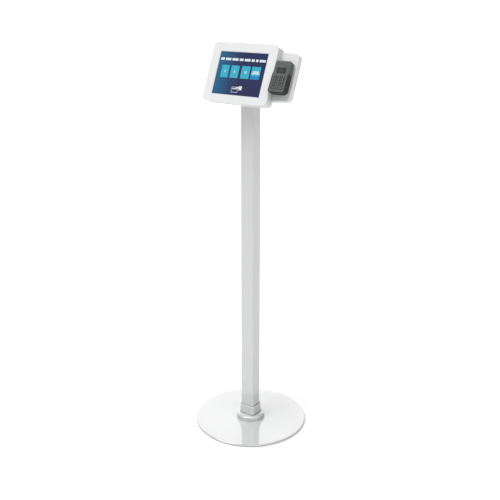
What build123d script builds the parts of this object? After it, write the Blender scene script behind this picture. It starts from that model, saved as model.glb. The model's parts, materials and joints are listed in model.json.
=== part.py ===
from build123d import *
import os
from math import cos, radians, sin

# Free-standing tablet payment kiosk: a round base, a box-section post, a leaning tablet head
# and a card reader with a keypad on a side wing.
# Millimetres, +Z up, front toward -Y, origin on the floor under the middle of the base.

# ---------------------------------------------------------------- driving dimensions
FIT = 0.05                      # radial clearance of a pin or screw in its hole

# stand
BASE_DIA = 450.0
BASE_THICK = 8.0
BASE_RIM_RADIUS = 2.5
BASE_UNDER_BEVEL = 1.0
CABLE_HOLE_RADIUS = 18.0
PAD_THICK = 2.0
PAD_RADIUS = 15.0
PAD_RING = 200.0
PAD_COUNT = 8
POST_WIDTH = 59.0
POST_DEPTH = 49.0
POST_WALL = 2.5
POST_CORNER = 5.0
POST_TOP = 1328.0
SLEEVE_WALL = 4.5
SLEEVE_CORNER = 8.0
SLEEVE_GAP = 0.2
SLEEVE_HEIGHT = 60.0
SLEEVE_ROUND = 1.0
FOOT_RADIUS = 50.0
FOOT_THICK = 6.0
COVER_RADIUS = 57.5
COVER_HEIGHT = 20.0
COVER_WALL = 1.6
COVER_ROUND = 8.0
COVER_GAP = 0.2
COVER_SPARE = 2.0               # room between the foot and the cover round it
BOLT_RADIUS = 4.0
BOLT_HEAD_RADIUS = 7.6
BOLT_HEAD_HEIGHT = 3.6
BOLT_RING = 43.5
BOLT_COUNT = 4
BOLT_SINK = 0.2                 # how far the bolt heads sit below flush
SOCKET_DEPTH = 2.0              # hexagon sockets of the bolts and grub screws
GRUB_RADIUS = 3.0
GRUB_HEIGHT = 38.0
GRUB_SPACING = 24.0
GROMMET_RADIUS = 12.0
GROMMET_BORE = 7.5
GROMMET_LIP = 2.5
GROMMET_LIP_THICK = 1.5
GROMMET_ROUND = 1.0
POST_GROMMET_HEIGHT = 1270.0

# tilt joint between post and head
PIVOT_HEIGHT = 1353.0
CHEEK_INNER = 15.0
CHEEK_THICK = 5.0
CHEEK_RADIUS = 14.0
CHEEK_FOOT = 40.0
YOKE_PLATE = 4.0
PLUG_DEPTH = 30.0
PLUG_WALL = 5.0
PLUG_GAP = 0.1
M5_RADIUS = 2.5
M5_HEAD_RADIUS = 4.5
M5_HEAD_HEIGHT = 2.2
YOKE_SCREW_LENGTH = 7.0
YOKE_SCREW_DROP = 15.0
YOKE_SCREW_SPACING = 24.0
LUG_HALF = 14.0
LUG_RADIUS = 13.0
LUG_ROOT = 36.0
PIN_RADIUS = 5.0
PIN_HEAD_RADIUS = 8.5
PIN_HEAD_THICK = 6.0
PIN_TAIL = 2.0
NUT_THICK = 8.0
WASHER_RADIUS = 12.0
WASHER_PLAY = 0.05
MOUNT_PLATE = 80.0
MOUNT_PLATE_THICK = 3.0
MOUNT_PLATE_CORNER = 8.0
MOUNT_SCREW_PITCH = 60.0
MOUNT_SCREW_LENGTH = 5.5

# tablet head, measured from the middle of the screen
LEAN = 23.0                     # screen leans back from upright, degrees
SCREEN_HEIGHT = 1416.5
SCREEN_FORWARD = 65.4
SCREEN_WIDTH = 207.8
SCREEN_TALL = 155.9
TABLET_WIDTH = 250.6
TABLET_TALL = 174.1
TABLET_THICK = 7.5
TABLET_CORNER = 9.0
TABLET_BACK_ROUND = 3.0
GLASS_THICK = 0.8
BEZEL_WIDTH = 282.5
BEZEL_TALL = 218.6
BEZEL_RISE = 3.0                # middle of the enclosure above the middle of the screen
BEZEL_CORNER = 17.0
BEZEL_BACK = 0.8
BEZEL_THICK = 2.2
BEZEL_ROUND = 0.9
WINDOW_BEVEL = 1.5
SHELL_INSET = 2.0
SHELL_FRONT = -0.6
SHELL_BACK = -50.0
SHELL_WALL = 2.5
SHELL_BEVEL = 12.0
FLANGE_THICK = 2.0
FLANGE_OPEN_WIDTH = 262.0
FLANGE_OPEN_TALL = 191.0
GASKET_WIDTH = 270.0
GASKET_TALL = 206.0
GASKET_BAND = 3.0
GASKET_GAP = 0.1
HINGE_OFFSET = 85.0
HINGE_DEPTH = -2.0
KNUCKLE_RADIUS = 2.5
KNUCKLE_LENGTH = 10.0
KNUCKLE_GAP = 0.4
KNUCKLE_ROOM = 0.5
HINGE_PIN_RADIUS = 1.2
TRAY_FRONT = -12.5
TRAY_THICK = 1.5
TAB_GAP = 0.5
TAB_LENGTH = 20.0
TAB_FRONT = -1.2
TAB_SPACING_U = 150.0
TAB_SPACING_V = 100.0
TRAY_WINDOW_WIDTH = 110.0
TRAY_WINDOW_TALL = 60.0
BOSS_RADIUS = 5.0
BOSS_U = 105.0
BOSS_V = 70.0
FOAM_U = 70.0
FOAM_V = 45.0
FOAM_SIDE = 20.0
FOAM_CORNER = 3.0
SHELL_GROMMET_V = 50.0

# cam lock in the head's top wall
LOCK_DEPTH = -16.0
LOCK_BODY_RADIUS = 8.0
LOCK_FLANGE_RADIUS = 10.0
LOCK_FLANGE_THICK = 2.0
LOCK_BODY_LENGTH = 16.0
LOCK_ROUND = 1.0
BARREL_RADIUS = 5.5
BARREL_TAIL = 0.3
KEYWAY_WIDTH = 1.4
KEYWAY_LENGTH = 6.5
KEYWAY_DEPTH = 6.0
CAM_THICK = 2.0
CAM_HALF_WIDTH = 4.0
CAM_REACH = 15.0
KEEPER_U = 11.0
KEEPER_THICK = 2.0
KEEPER_WIDTH = 5.4
KEEPER_BACK = -22.5
CAM_PLAY = 0.6
CAM_SWEEP = 12.5                # the keeper's slot runs this far forward, for the turning cam

# wing on the right of the head
WING_FRONT = -25.0
WING_OUTER = 211.0
WING_TOP_INNER = 96.0
WING_TOP_OUTER = 93.3
WING_BOTTOM_INNER = -81.0
WING_BOTTOM_OUTER = -74.7
WING_CORNER = 16.0
WING_WALL = 2.0
WING_ROUND = 1.8
WING_SCREW_DEPTH = -31.5
WING_SCREW_V = 55.0
SMALL_SCREW_RADIUS = 2.0
SMALL_SCREW_LENGTH = 8.0
SMALL_HEAD_RADIUS = 3.6
SMALL_HEAD_HEIGHT = 2.2
WING_BOSS_RADIUS = 3.5
WING_BOSS_INNER = 9.0           # cover screws from the head's side
WING_BOSS_OUTER = 13.0          # cover screws from the wing's outer edges
WING_COVER_GAP = 0.2
WING_CABLE_RADIUS = 6.0
COVER_SCREW_RADIUS = 1.5
COVER_SCREW_LENGTH = 10.0
COVER_SCREW_HEAD = 2.8
COVER_SCREW_HEAD_HEIGHT = 1.4

# card reader, measured from the middle of its face
READER_U = 175.15
READER_V = -0.5
READER_N = 9.0
READER_WEDGE = 5.0              # the reader leans back this much more than the screen, degrees
READER_WIDTH = 66.5
READER_TALL = 116.0
READER_THICK = 24.5
READER_CORNER = 9.0
BUMPER_WALL = 1.3
BUMPER_GAP = 0.1
BUMPER_TOP = 12.0               # the bumper's arms end here, above the middle of the face
BUMPER_BACK = -21.0
BUMPER_ROUND = 1.2
BUMPER_BACK_ROUND = 0.8
BUMPER_LIP = 1.5
BUMPER_LIP_HEIGHT = 0.7
CASE_SPLIT = -8.0
CASE_WALL = 1.7
FACE_PLATE = 2.0
CASE_FLOOR = 4.2
CASE_BEVEL = 4.0
FACE_ROUND = 1.2
LCD_WIDTH = 36.0
LCD_TALL = 21.0
LCD_V = 22.0
LCD_CORNER = 1.5
LCD_SINK = 0.25
LCD_THICK = 1.7
LCD_GAP = 0.1
MODULE_MARGIN = 1.5
PLAY = 0.05                     # clearance between stacked inner pieces
BOARD_MARGIN = 0.5
BOARD_BOSS_GAP = 0.3
BOARD_BACK = -5.8
BOARD_THICK = 1.6
DOME_THICK = 0.3
DOME_WIDTH = 44.0
DOME_TALL = 49.0
KEY_WIDTH = 12.0
KEY_TALL = 7.0
KEY_CORNER = 2.0
KEY_GAP = 0.25
KEY_PROUD = 1.0
KEY_ROUND = 0.6
KEY_LIFT = 0.2                  # gap between the face plate and a key's flange
KEY_FLANGE = 0.8
KEY_FLANGE_THICK = 0.7
KEY_PITCH_U = 15.6
KEY_ROWS = (-1.5, -11.3, -21.1, -30.9, -42.0)
CARD_SLOT_WIDTH = 54.8
CARD_SLOT_TALL = 1.6
CARD_SLOT_BACK = -15.0
CARD_SLOT_DEPTH = 5.0
CONTACT_WIDTH = 48.0
CONTACT_TALL = 40.0
CONTACT_V = -34.0
CONTACT_WEB = 4.0
CONTACT_TOP = 2.0
BATTERY_WIDTH = 40.0
BATTERY_TALL = 42.0
BATTERY_THICK = 6.8
BATTERY_V = 26.0
BATTERY_CORNER = 3.0
INNER_GAP = 0.1
CASE_SCREW_U = 27.6
CASE_SCREW_V = (50.0, -6.4)
CASE_SCREW_RADIUS = 1.0
CASE_SCREW_HEAD = 1.9
CASE_SCREW_HEAD_HEIGHT = 1.2
CASE_SCREW_SINK = 1.5
CASE_SCREW_LENGTH = 19.0
CASE_SCREW_GRIP = 5.0
CASE_BOSS_RADIUS = 2.2
INLAY_V = 31.5
INLAY_DEPTH = -10.5
INLAY_LONG = 27.0
INLAY_TALL = 11.0
INLAY_CORNER = 1.5
INLAY_SINK = 0.8
INLAY_PROUD = 0.6
INLAY_ROUND = 0.4
RAIL_STEM = 12.0
RAIL_HEAD = 18.0
RAIL_LENGTH = 70.0
RAIL_STEP = 1.1
RAIL_GAP = 0.15
CRADLE_WIDTH = 50.0
CRADLE_TALL = 96.0
CRADLE_CORNER = 6.0
CRADLE_SCREW_U = 15.0
CRADLE_SCREW_V = 30.0

# ---------------------------------------------------------------- values that follow
BASE_TOP = PAD_THICK + BASE_THICK
SHELL_WIDTH = BEZEL_WIDTH - 2 * SHELL_INSET
SHELL_TALL = BEZEL_TALL - 2 * SHELL_INSET
SHELL_CORNER = BEZEL_CORNER - SHELL_INSET
SHELL_TOP = BEZEL_RISE + SHELL_TALL / 2
HINGE_V = BEZEL_RISE - SHELL_TALL / 2
SLEEVE_WIDTH = POST_WIDTH + 2 * SLEEVE_WALL
SLEEVE_DEPTH = POST_DEPTH + 2 * SLEEVE_WALL
TRAY_BACK = TRAY_FRONT - TRAY_THICK
SHELL_FLOOR = SHELL_BACK + SHELL_WALL
WING_SCREW_SPOTS = [(-WING_SCREW_V, 0), (WING_SCREW_V, 0)]
CASE_WIDTH = READER_WIDTH - 2 * (BUMPER_WALL + BUMPER_GAP)
CASE_TALL = READER_TALL - 2 * (BUMPER_WALL + BUMPER_GAP)
CASE_CORNER = READER_CORNER - BUMPER_WALL - BUMPER_GAP

UP = Axis.Z
HEAD = Plane(
    origin=(0, -SCREEN_FORWARD, SCREEN_HEIGHT),
    x_dir=(1, 0, 0),
    z_dir=(0, -cos(radians(LEAN)), sin(radians(LEAN))),
)
READER = Plane(
    origin=HEAD.from_local_coords((READER_U, READER_V, READER_N)),
    x_dir=(1, 0, 0),
    z_dir=(0, -cos(radians(LEAN + READER_WEDGE)), sin(radians(LEAN + READER_WEDGE))),
)
HEAD_OUT = Axis((0, 0, 0), HEAD.z_dir)
READER_OUT = Axis((0, 0, 0), READER.z_dir)
PIVOT = HEAD.to_local_coords(Vector(0, 0, PIVOT_HEIGHT))


def head_side(u, v, n):
    """Plane facing +X at a point of the head; its x runs up the face, its y out of it."""
    return Plane(
        origin=HEAD.from_local_coords((u, v, n)), x_dir=HEAD.y_dir, z_dir=(1, 0, 0)
    )


def head_top(u, v, n):
    """Plane facing up the head at a point; its x runs to the right, its y backward."""
    return Plane(
        origin=HEAD.from_local_coords((u, v, n)), x_dir=(1, 0, 0), z_dir=HEAD.y_dir
    )


def screws(plane, spots, shank_radius, shank_length, head_radius, head_height):
    """Socket screws: heads stand on the plane, shanks run the other way."""
    with BuildPart() as group:
        with BuildSketch(plane):
            with Locations(*spots):
                Circle(head_radius)
        extrude(amount=head_height)
        with BuildSketch(plane):
            with Locations(*spots):
                Circle(shank_radius)
        extrude(amount=-shank_length)
        with BuildSketch(plane.offset(head_height)):
            with Locations(*spots):
                RegularPolygon(head_radius / 2, 6)
        extrude(amount=-head_height / 2, mode=Mode.SUBTRACT)
    return group


def corners(u, v):
    """Four spots, one in each corner."""
    return [(-u, -v), (u, -v), (-u, v), (u, v)]


# ---------------------------------------------------------------- stand
with BuildPart() as base_plate:
    with BuildSketch(Plane.XY.offset(PAD_THICK)):
        Circle(BASE_DIA / 2)
    extrude(amount=BASE_THICK)
    fillet(base_plate.edges().group_by(UP)[-1], BASE_RIM_RADIUS)
    chamfer(base_plate.edges().group_by(UP)[0], BASE_UNDER_BEVEL)
    with BuildSketch(Plane.XY.offset(PAD_THICK)):
        Circle(CABLE_HOLE_RADIUS)
    extrude(amount=BASE_THICK, mode=Mode.SUBTRACT)
    with Locations(Plane(origin=(0, 0, PAD_THICK), x_dir=(1, 0, 0), z_dir=(0, 0, -1))):
        with PolarLocations(BOLT_RING, BOLT_COUNT):
            CounterSinkHole(BOLT_RADIUS + FIT, BOLT_HEAD_RADIUS + BOLT_SINK)

with BuildPart() as base_foot_pads:
    with BuildSketch(Plane.XY):
        with PolarLocations(PAD_RING, PAD_COUNT):
            Circle(PAD_RADIUS)
    extrude(amount=PAD_THICK)

# box sleeve welded to a round foot, bolted to the base plate from below
with BuildPart() as socket_sleeve:
    with BuildSketch(Plane.XY.offset(BASE_TOP)):
        Circle(FOOT_RADIUS)
    extrude(amount=FOOT_THICK)
    with BuildSketch(Plane.XY.offset(BASE_TOP)):
        RectangleRounded(SLEEVE_WIDTH, SLEEVE_DEPTH, SLEEVE_CORNER)
    extrude(amount=SLEEVE_HEIGHT)
    fillet(socket_sleeve.edges().group_by(UP)[-1], SLEEVE_ROUND)
    with BuildSketch(Plane.XY.offset(BASE_TOP)):
        RectangleRounded(
            POST_WIDTH + 2 * SLEEVE_GAP, POST_DEPTH + 2 * SLEEVE_GAP, POST_CORNER
        )
    extrude(amount=SLEEVE_HEIGHT, mode=Mode.SUBTRACT)
    with BuildSketch(Plane.XY.offset(BASE_TOP)):
        with PolarLocations(BOLT_RING, BOLT_COUNT):
            Circle(BOLT_RADIUS + FIT)
    extrude(amount=FOOT_THICK, mode=Mode.SUBTRACT)
    with BuildSketch(Plane.XZ.offset(-SLEEVE_DEPTH)):
        with Locations((0, GRUB_HEIGHT)):
            with GridLocations(GRUB_SPACING, 1, 2, 1):
                Circle(GRUB_RADIUS + FIT)
    extrude(amount=SLEEVE_DEPTH, mode=Mode.SUBTRACT)

# domed trim that hides the foot and its bolts
with BuildPart() as socket_cover:
    with BuildSketch(Plane.XY.offset(BASE_TOP)):
        Circle(COVER_RADIUS)
    extrude(amount=COVER_HEIGHT)
    fillet(socket_cover.edges().group_by(UP)[-1], COVER_ROUND)
    with BuildSketch(Plane.XY.offset(BASE_TOP)):
        Circle(FOOT_RADIUS + COVER_SPARE)
    extrude(amount=COVER_HEIGHT - COVER_WALL, mode=Mode.SUBTRACT)
    with BuildSketch(Plane.XY.offset(BASE_TOP)):
        RectangleRounded(
            SLEEVE_WIDTH + 2 * COVER_GAP, SLEEVE_DEPTH + 2 * COVER_GAP, SLEEVE_CORNER
        )
    extrude(amount=COVER_HEIGHT, mode=Mode.SUBTRACT)

BOLT_END = PAD_THICK + BOLT_SINK

with BuildPart() as socket_bolts:
    with BuildSketch(Plane.XY.offset(BOLT_END)):
        with PolarLocations(BOLT_RING, BOLT_COUNT):
            Circle(BOLT_HEAD_RADIUS - BOLT_SINK)
    extrude(amount=BOLT_HEAD_HEIGHT - BOLT_SINK, taper=45)
    with BuildSketch(Plane.XY.offset(BOLT_END)):
        with PolarLocations(BOLT_RING, BOLT_COUNT):
            Circle(BOLT_RADIUS)
    extrude(amount=BASE_THICK + FOOT_THICK - 2 * BOLT_SINK)
    with BuildSketch(Plane.XY.offset(BOLT_END)):
        with PolarLocations(BOLT_RING, BOLT_COUNT):
            RegularPolygon(BOLT_RADIUS / 2, 6)
    extrude(amount=SOCKET_DEPTH, mode=Mode.SUBTRACT)

with BuildPart() as sleeve_grub_screws:
    with BuildSketch(Plane.XZ.offset(-SLEEVE_DEPTH / 2)):
        with Locations((0, GRUB_HEIGHT)):
            with GridLocations(GRUB_SPACING, 1, 2, 1):
                Circle(GRUB_RADIUS)
    extrude(amount=SLEEVE_WALL)
    with BuildSketch(Plane.XZ.offset(-SLEEVE_DEPTH / 2)):
        with Locations((0, GRUB_HEIGHT)):
            with GridLocations(GRUB_SPACING, 1, 2, 1):
                RegularPolygon(GRUB_RADIUS / 2, 6)
    extrude(amount=SOCKET_DEPTH, mode=Mode.SUBTRACT)

POST_SCREW_SPOTS = [(-YOKE_SCREW_SPACING / 2, 0), (YOKE_SCREW_SPACING / 2, 0)]
POST_RIGHT = Plane(
    origin=(POST_WIDTH / 2, 0, POST_TOP - YOKE_SCREW_DROP), x_dir=(0, 1, 0), z_dir=(1, 0, 0)
)
POST_LEFT = Plane(
    origin=(-POST_WIDTH / 2, 0, POST_TOP - YOKE_SCREW_DROP), x_dir=(0, 1, 0), z_dir=(-1, 0, 0)
)

with BuildPart() as post:
    with BuildSketch(Plane.XY.offset(BASE_TOP)):
        RectangleRounded(POST_WIDTH, POST_DEPTH, POST_CORNER)
        offset(amount=-POST_WALL, mode=Mode.SUBTRACT)
    extrude(amount=POST_TOP - BASE_TOP)
    with BuildSketch(POST_RIGHT):
        with Locations(*POST_SCREW_SPOTS):
            Circle(M5_RADIUS + FIT)
    extrude(amount=-POST_WIDTH, mode=Mode.SUBTRACT)
    with BuildSketch(Plane.XZ.offset(-POST_DEPTH)):
        with Locations((0, POST_GROMMET_HEIGHT)):
            Circle(GROMMET_RADIUS + FIT)
    extrude(amount=POST_DEPTH, mode=Mode.SUBTRACT)

with BuildPart() as post_grommet:
    with BuildSketch(Plane.XZ.offset(-POST_DEPTH / 2)):
        with Locations((0, POST_GROMMET_HEIGHT)):
            Circle(GROMMET_RADIUS + GROMMET_LIP)
    extrude(amount=-GROMMET_LIP_THICK)
    fillet(post_grommet.edges().group_by(Axis.Y)[-1], GROMMET_ROUND)
    with BuildSketch(Plane.XZ.offset(-POST_DEPTH / 2)):
        with Locations((0, POST_GROMMET_HEIGHT)):
            Circle(GROMMET_RADIUS)
    extrude(amount=POST_WALL)
    with BuildSketch(Plane.XZ.offset(-POST_DEPTH)):
        with Locations((0, POST_GROMMET_HEIGHT)):
            Circle(GROMMET_BORE)
    extrude(amount=POST_DEPTH, mode=Mode.SUBTRACT)

# ---------------------------------------------------------------- tilt joint
PLUG_INSET = POST_WALL + PLUG_GAP

with BuildPart() as tilt_yoke:
    with BuildSketch(Plane.XY.offset(POST_TOP)):
        RectangleRounded(
            POST_WIDTH - 2 * PLUG_INSET, POST_DEPTH - 2 * PLUG_INSET, POST_CORNER - POST_WALL
        )
        offset(amount=-PLUG_WALL, mode=Mode.SUBTRACT)
    extrude(amount=-PLUG_DEPTH)
    with BuildSketch(Plane.XY.offset(POST_TOP)):
        RectangleRounded(POST_WIDTH, POST_DEPTH, POST_CORNER)
    extrude(amount=YOKE_PLATE)
    for side in (-1, 1):
        cheek_middle = side * (CHEEK_INNER + CHEEK_THICK / 2)
        with BuildSketch(Plane.YZ.offset(cheek_middle)):
            with Locations((0, PIVOT_HEIGHT)):
                Circle(CHEEK_RADIUS)
            with Locations((0, POST_TOP + YOKE_PLATE / 2)):
                Rectangle(CHEEK_FOOT, YOKE_PLATE)
            make_hull()
        extrude(amount=CHEEK_THICK / 2, both=True)
    with BuildSketch(Plane.YZ.offset(-POST_WIDTH)):
        with Locations((0, PIVOT_HEIGHT)):
            Circle(PIN_RADIUS + FIT)
    extrude(amount=2 * POST_WIDTH, mode=Mode.SUBTRACT)
    with BuildSketch(POST_RIGHT):
        with Locations(*POST_SCREW_SPOTS):
            Circle(M5_RADIUS + FIT)
    extrude(amount=-POST_WIDTH, mode=Mode.SUBTRACT)

with BuildPart() as yoke_screws:
    for wall in (POST_RIGHT, POST_LEFT):
        add(
            screws(
                wall, POST_SCREW_SPOTS, M5_RADIUS, YOKE_SCREW_LENGTH, M5_HEAD_RADIUS, M5_HEAD_HEIGHT
            ).part
        )

with BuildPart() as tilt_pin:
    with BuildSketch(Plane.YZ.offset(-CHEEK_INNER - CHEEK_THICK)):
        with Locations((0, PIVOT_HEIGHT)):
            RegularPolygon(PIN_HEAD_RADIUS, 6)
    extrude(amount=-PIN_HEAD_THICK)
    with BuildSketch(Plane.YZ.offset(-CHEEK_INNER - CHEEK_THICK)):
        with Locations((0, PIVOT_HEIGHT)):
            Circle(PIN_RADIUS)
    extrude(amount=2 * (CHEEK_INNER + CHEEK_THICK) + NUT_THICK + PIN_TAIL)

with BuildPart() as tilt_nut:
    with BuildSketch(Plane.YZ.offset(CHEEK_INNER + CHEEK_THICK)):
        with Locations((0, PIVOT_HEIGHT)):
            RegularPolygon(PIN_HEAD_RADIUS, 6)
            Circle(PIN_RADIUS + FIT, mode=Mode.SUBTRACT)
    extrude(amount=NUT_THICK)

with BuildPart() as tilt_washers:
    for side in (-1, 1):
        with BuildSketch(Plane.YZ.offset(side * (LUG_HALF + CHEEK_INNER) / 2)):
            with Locations((0, PIVOT_HEIGHT)):
                Circle(WASHER_RADIUS)
                Circle(PIN_RADIUS + FIT, mode=Mode.SUBTRACT)
        extrude(amount=(CHEEK_INNER - LUG_HALF) / 2 - WASHER_PLAY, both=True)

MOUNT_SPOTS = [
    (u, v + PIVOT.Y) for u, v in corners(MOUNT_SCREW_PITCH / 2, MOUNT_SCREW_PITCH / 2)
]

with BuildPart() as tilt_knuckle:
    with BuildSketch(HEAD.offset(SHELL_BACK)):
        with Locations((0, PIVOT.Y)):
            RectangleRounded(MOUNT_PLATE, MOUNT_PLATE, MOUNT_PLATE_CORNER)
        with Locations(*MOUNT_SPOTS):
            Circle(M5_RADIUS + FIT, mode=Mode.SUBTRACT)
    extrude(amount=-MOUNT_PLATE_THICK)
    lug_reach = SHELL_BACK - MOUNT_PLATE_THICK - PIVOT.Z
    with BuildSketch(head_side(0, PIVOT.Y, PIVOT.Z)):
        Circle(LUG_RADIUS)
        with Locations((0, lug_reach)):
            Rectangle(LUG_ROOT, MOUNT_PLATE_THICK / 2)
        make_hull()
        Circle(PIN_RADIUS + FIT, mode=Mode.SUBTRACT)
    extrude(amount=LUG_HALF, both=True)

knuckle_screws = screws(
    HEAD.offset(SHELL_FLOOR), MOUNT_SPOTS, M5_RADIUS, MOUNT_SCREW_LENGTH, M5_HEAD_RADIUS, M5_HEAD_HEIGHT
)

# ---------------------------------------------------------------- tablet head
HINGE_KNUCKLES = [
    side * HINGE_OFFSET + step * (KNUCKLE_LENGTH + KNUCKLE_GAP)
    for side in (-1, 1)
    for step in (-1, 1)
]

with BuildPart() as rear_shell:
    with BuildSketch(HEAD.offset(SHELL_FRONT)):
        with Locations((0, BEZEL_RISE)):
            RectangleRounded(SHELL_WIDTH, SHELL_TALL, SHELL_CORNER)
    extrude(amount=SHELL_BACK - SHELL_FRONT)
    chamfer(rear_shell.edges().group_by(HEAD_OUT)[0], SHELL_BEVEL)
    offset(amount=-SHELL_WALL, openings=rear_shell.faces().sort_by(HEAD_OUT)[-1])
    with BuildSketch(HEAD.offset(SHELL_FRONT)):
        with Locations((0, BEZEL_RISE)):
            RectangleRounded(SHELL_WIDTH, SHELL_TALL, SHELL_CORNER)
            RectangleRounded(
                FLANGE_OPEN_WIDTH, FLANGE_OPEN_TALL, TABLET_CORNER, mode=Mode.SUBTRACT
            )
    extrude(amount=-FLANGE_THICK)
    # bosses that carry the tablet tray
    with BuildSketch(HEAD.offset(SHELL_FLOOR)):
        with Locations(*corners(BOSS_U, BOSS_V)):
            Circle(BOSS_RADIUS)
    extrude(amount=TRAY_BACK - SHELL_FLOOR)
    with BuildSketch(HEAD.offset(TRAY_BACK)):
        with Locations(*corners(BOSS_U, BOSS_V)):
            Circle(SMALL_SCREW_RADIUS + FIT)
    extrude(amount=-SMALL_SCREW_LENGTH, mode=Mode.SUBTRACT)
    # pockets for the bezel's knuckles, then the shell's own knuckles
    for side in (-1, 1):
        with BuildSketch(head_side(side * HINGE_OFFSET, HINGE_V, HINGE_DEPTH)):
            Rectangle(2 * (KNUCKLE_RADIUS + KNUCKLE_ROOM), 2 * (KNUCKLE_RADIUS + KNUCKLE_ROOM))
        extrude(amount=KNUCKLE_LENGTH / 2 + KNUCKLE_GAP, both=True, mode=Mode.SUBTRACT)
    for middle in HINGE_KNUCKLES:
        with BuildSketch(head_side(middle, HINGE_V, HINGE_DEPTH)):
            Circle(KNUCKLE_RADIUS)
        extrude(amount=KNUCKLE_LENGTH / 2, both=True)
    with BuildSketch(head_side(0, HINGE_V, HINGE_DEPTH)):
        Circle(HINGE_PIN_RADIUS + FIT)
    extrude(amount=HINGE_OFFSET + 2 * KNUCKLE_LENGTH, both=True, mode=Mode.SUBTRACT)
    # holes for the lock, the tilt plate's screws, the cable and the wing's screws
    with BuildSketch(head_top(0, SHELL_TOP, LOCK_DEPTH)):
        Circle(LOCK_BODY_RADIUS + FIT)
    extrude(amount=-2 * SHELL_WALL, mode=Mode.SUBTRACT)
    with BuildSketch(HEAD.offset(SHELL_FLOOR)):
        with Locations(*MOUNT_SPOTS):
            Circle(M5_RADIUS + FIT)
        with Locations((0, SHELL_GROMMET_V)):
            Circle(GROMMET_RADIUS + FIT)
    extrude(amount=-SHELL_WALL, mode=Mode.SUBTRACT)
    with BuildSketch(head_side(SHELL_WIDTH / 2, 0, WING_SCREW_DEPTH)):
        with Locations(*WING_SCREW_SPOTS):
            Circle(SMALL_SCREW_RADIUS + FIT)
    extrude(amount=-2 * SHELL_WALL, mode=Mode.SUBTRACT)

with BuildPart() as shell_grommet:
    with BuildSketch(HEAD.offset(SHELL_BACK)):
        with Locations((0, SHELL_GROMMET_V)):
            Circle(GROMMET_RADIUS + GROMMET_LIP)
    extrude(amount=-GROMMET_LIP_THICK)
    fillet(shell_grommet.edges().group_by(HEAD_OUT)[0], GROMMET_ROUND)
    with BuildSketch(HEAD.offset(SHELL_BACK)):
        with Locations((0, SHELL_GROMMET_V)):
            Circle(GROMMET_RADIUS)
    extrude(amount=SHELL_WALL)
    with BuildSketch(HEAD.offset(SHELL_BACK - GROMMET_LIP_THICK)):
        with Locations((0, SHELL_GROMMET_V)):
            Circle(GROMMET_BORE)
    extrude(amount=2 * SHELL_WALL, mode=Mode.SUBTRACT)

with BuildPart() as hinge_pins:
    for side in (-1, 1):
        with BuildSketch(head_side(side * HINGE_OFFSET, HINGE_V, HINGE_DEPTH)):
            Circle(HINGE_PIN_RADIUS)
        extrude(amount=1.5 * KNUCKLE_LENGTH + KNUCKLE_GAP, both=True)

with BuildPart() as front_bezel:
    with BuildSketch(HEAD.offset(BEZEL_BACK)):
        with Locations((0, BEZEL_RISE)):
            RectangleRounded(BEZEL_WIDTH, BEZEL_TALL, BEZEL_CORNER)
    extrude(amount=BEZEL_THICK)
    fillet(front_bezel.edges().group_by(HEAD_OUT)[-1], BEZEL_ROUND)
    with BuildSketch(HEAD.offset(BEZEL_BACK)):
        Rectangle(SCREEN_WIDTH, SCREEN_TALL)
    extrude(amount=BEZEL_THICK, mode=Mode.SUBTRACT)
    window_rim = front_bezel.faces().sort_by(HEAD_OUT)[-1].inner_wires()[0].edges()
    chamfer(window_rim, WINDOW_BEVEL)
    for side in (-1, 1):
        with BuildSketch(head_side(side * HINGE_OFFSET, HINGE_V, HINGE_DEPTH)):
            Circle(KNUCKLE_RADIUS)
            with Locations((0, (BEZEL_BACK - HINGE_DEPTH) / 2)):
                Rectangle(2 * SHELL_INSET, BEZEL_BACK - HINGE_DEPTH)
            Circle(HINGE_PIN_RADIUS + FIT, mode=Mode.SUBTRACT)
        extrude(amount=KNUCKLE_LENGTH / 2, both=True)

with BuildPart() as bezel_gasket:
    with BuildSketch(HEAD.offset(BEZEL_BACK)):
        with Locations((0, BEZEL_RISE)):
            RectangleRounded(GASKET_WIDTH, GASKET_TALL, TABLET_CORNER)
        offset(amount=-GASKET_BAND, mode=Mode.SUBTRACT)
    extrude(amount=SHELL_FRONT - BEZEL_BACK + GASKET_GAP)

LOCK_END = SHELL_TOP - LOCK_BODY_LENGTH
CAM_MIDDLE = LOCK_END - BARREL_TAIL - CAM_THICK / 2
KEEPER_SLOT_BACK = LOCK_DEPTH - CAM_HALF_WIDTH - CAM_PLAY
KEEPER_SLOT_FRONT = LOCK_DEPTH + CAM_SWEEP

with BuildPart() as lock_keeper:
    with BuildSketch(head_side(KEEPER_U, CAM_MIDDLE, 0)):
        with Locations((0, (BEZEL_BACK + KEEPER_BACK) / 2)):
            Rectangle(KEEPER_WIDTH, BEZEL_BACK - KEEPER_BACK)
        with Locations((0, (KEEPER_SLOT_BACK + KEEPER_SLOT_FRONT) / 2)):
            Rectangle(
                CAM_THICK + CAM_PLAY, KEEPER_SLOT_FRONT - KEEPER_SLOT_BACK, mode=Mode.SUBTRACT
            )
    extrude(amount=KEEPER_THICK / 2, both=True)

with BuildPart() as lock_body:
    with BuildSketch(head_top(0, SHELL_TOP, LOCK_DEPTH)):
        Circle(LOCK_FLANGE_RADIUS)
    extrude(amount=LOCK_FLANGE_THICK)
    fillet(lock_body.edges().sort_by(Axis((0, 0, 0), HEAD.y_dir))[-1], LOCK_ROUND)
    with BuildSketch(head_top(0, SHELL_TOP, LOCK_DEPTH)):
        Circle(LOCK_BODY_RADIUS)
    extrude(amount=-LOCK_BODY_LENGTH)
    with BuildSketch(head_top(0, LOCK_END, LOCK_DEPTH)):
        Circle(BARREL_RADIUS + FIT)
    extrude(amount=2 * LOCK_BODY_LENGTH, mode=Mode.SUBTRACT)

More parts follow.
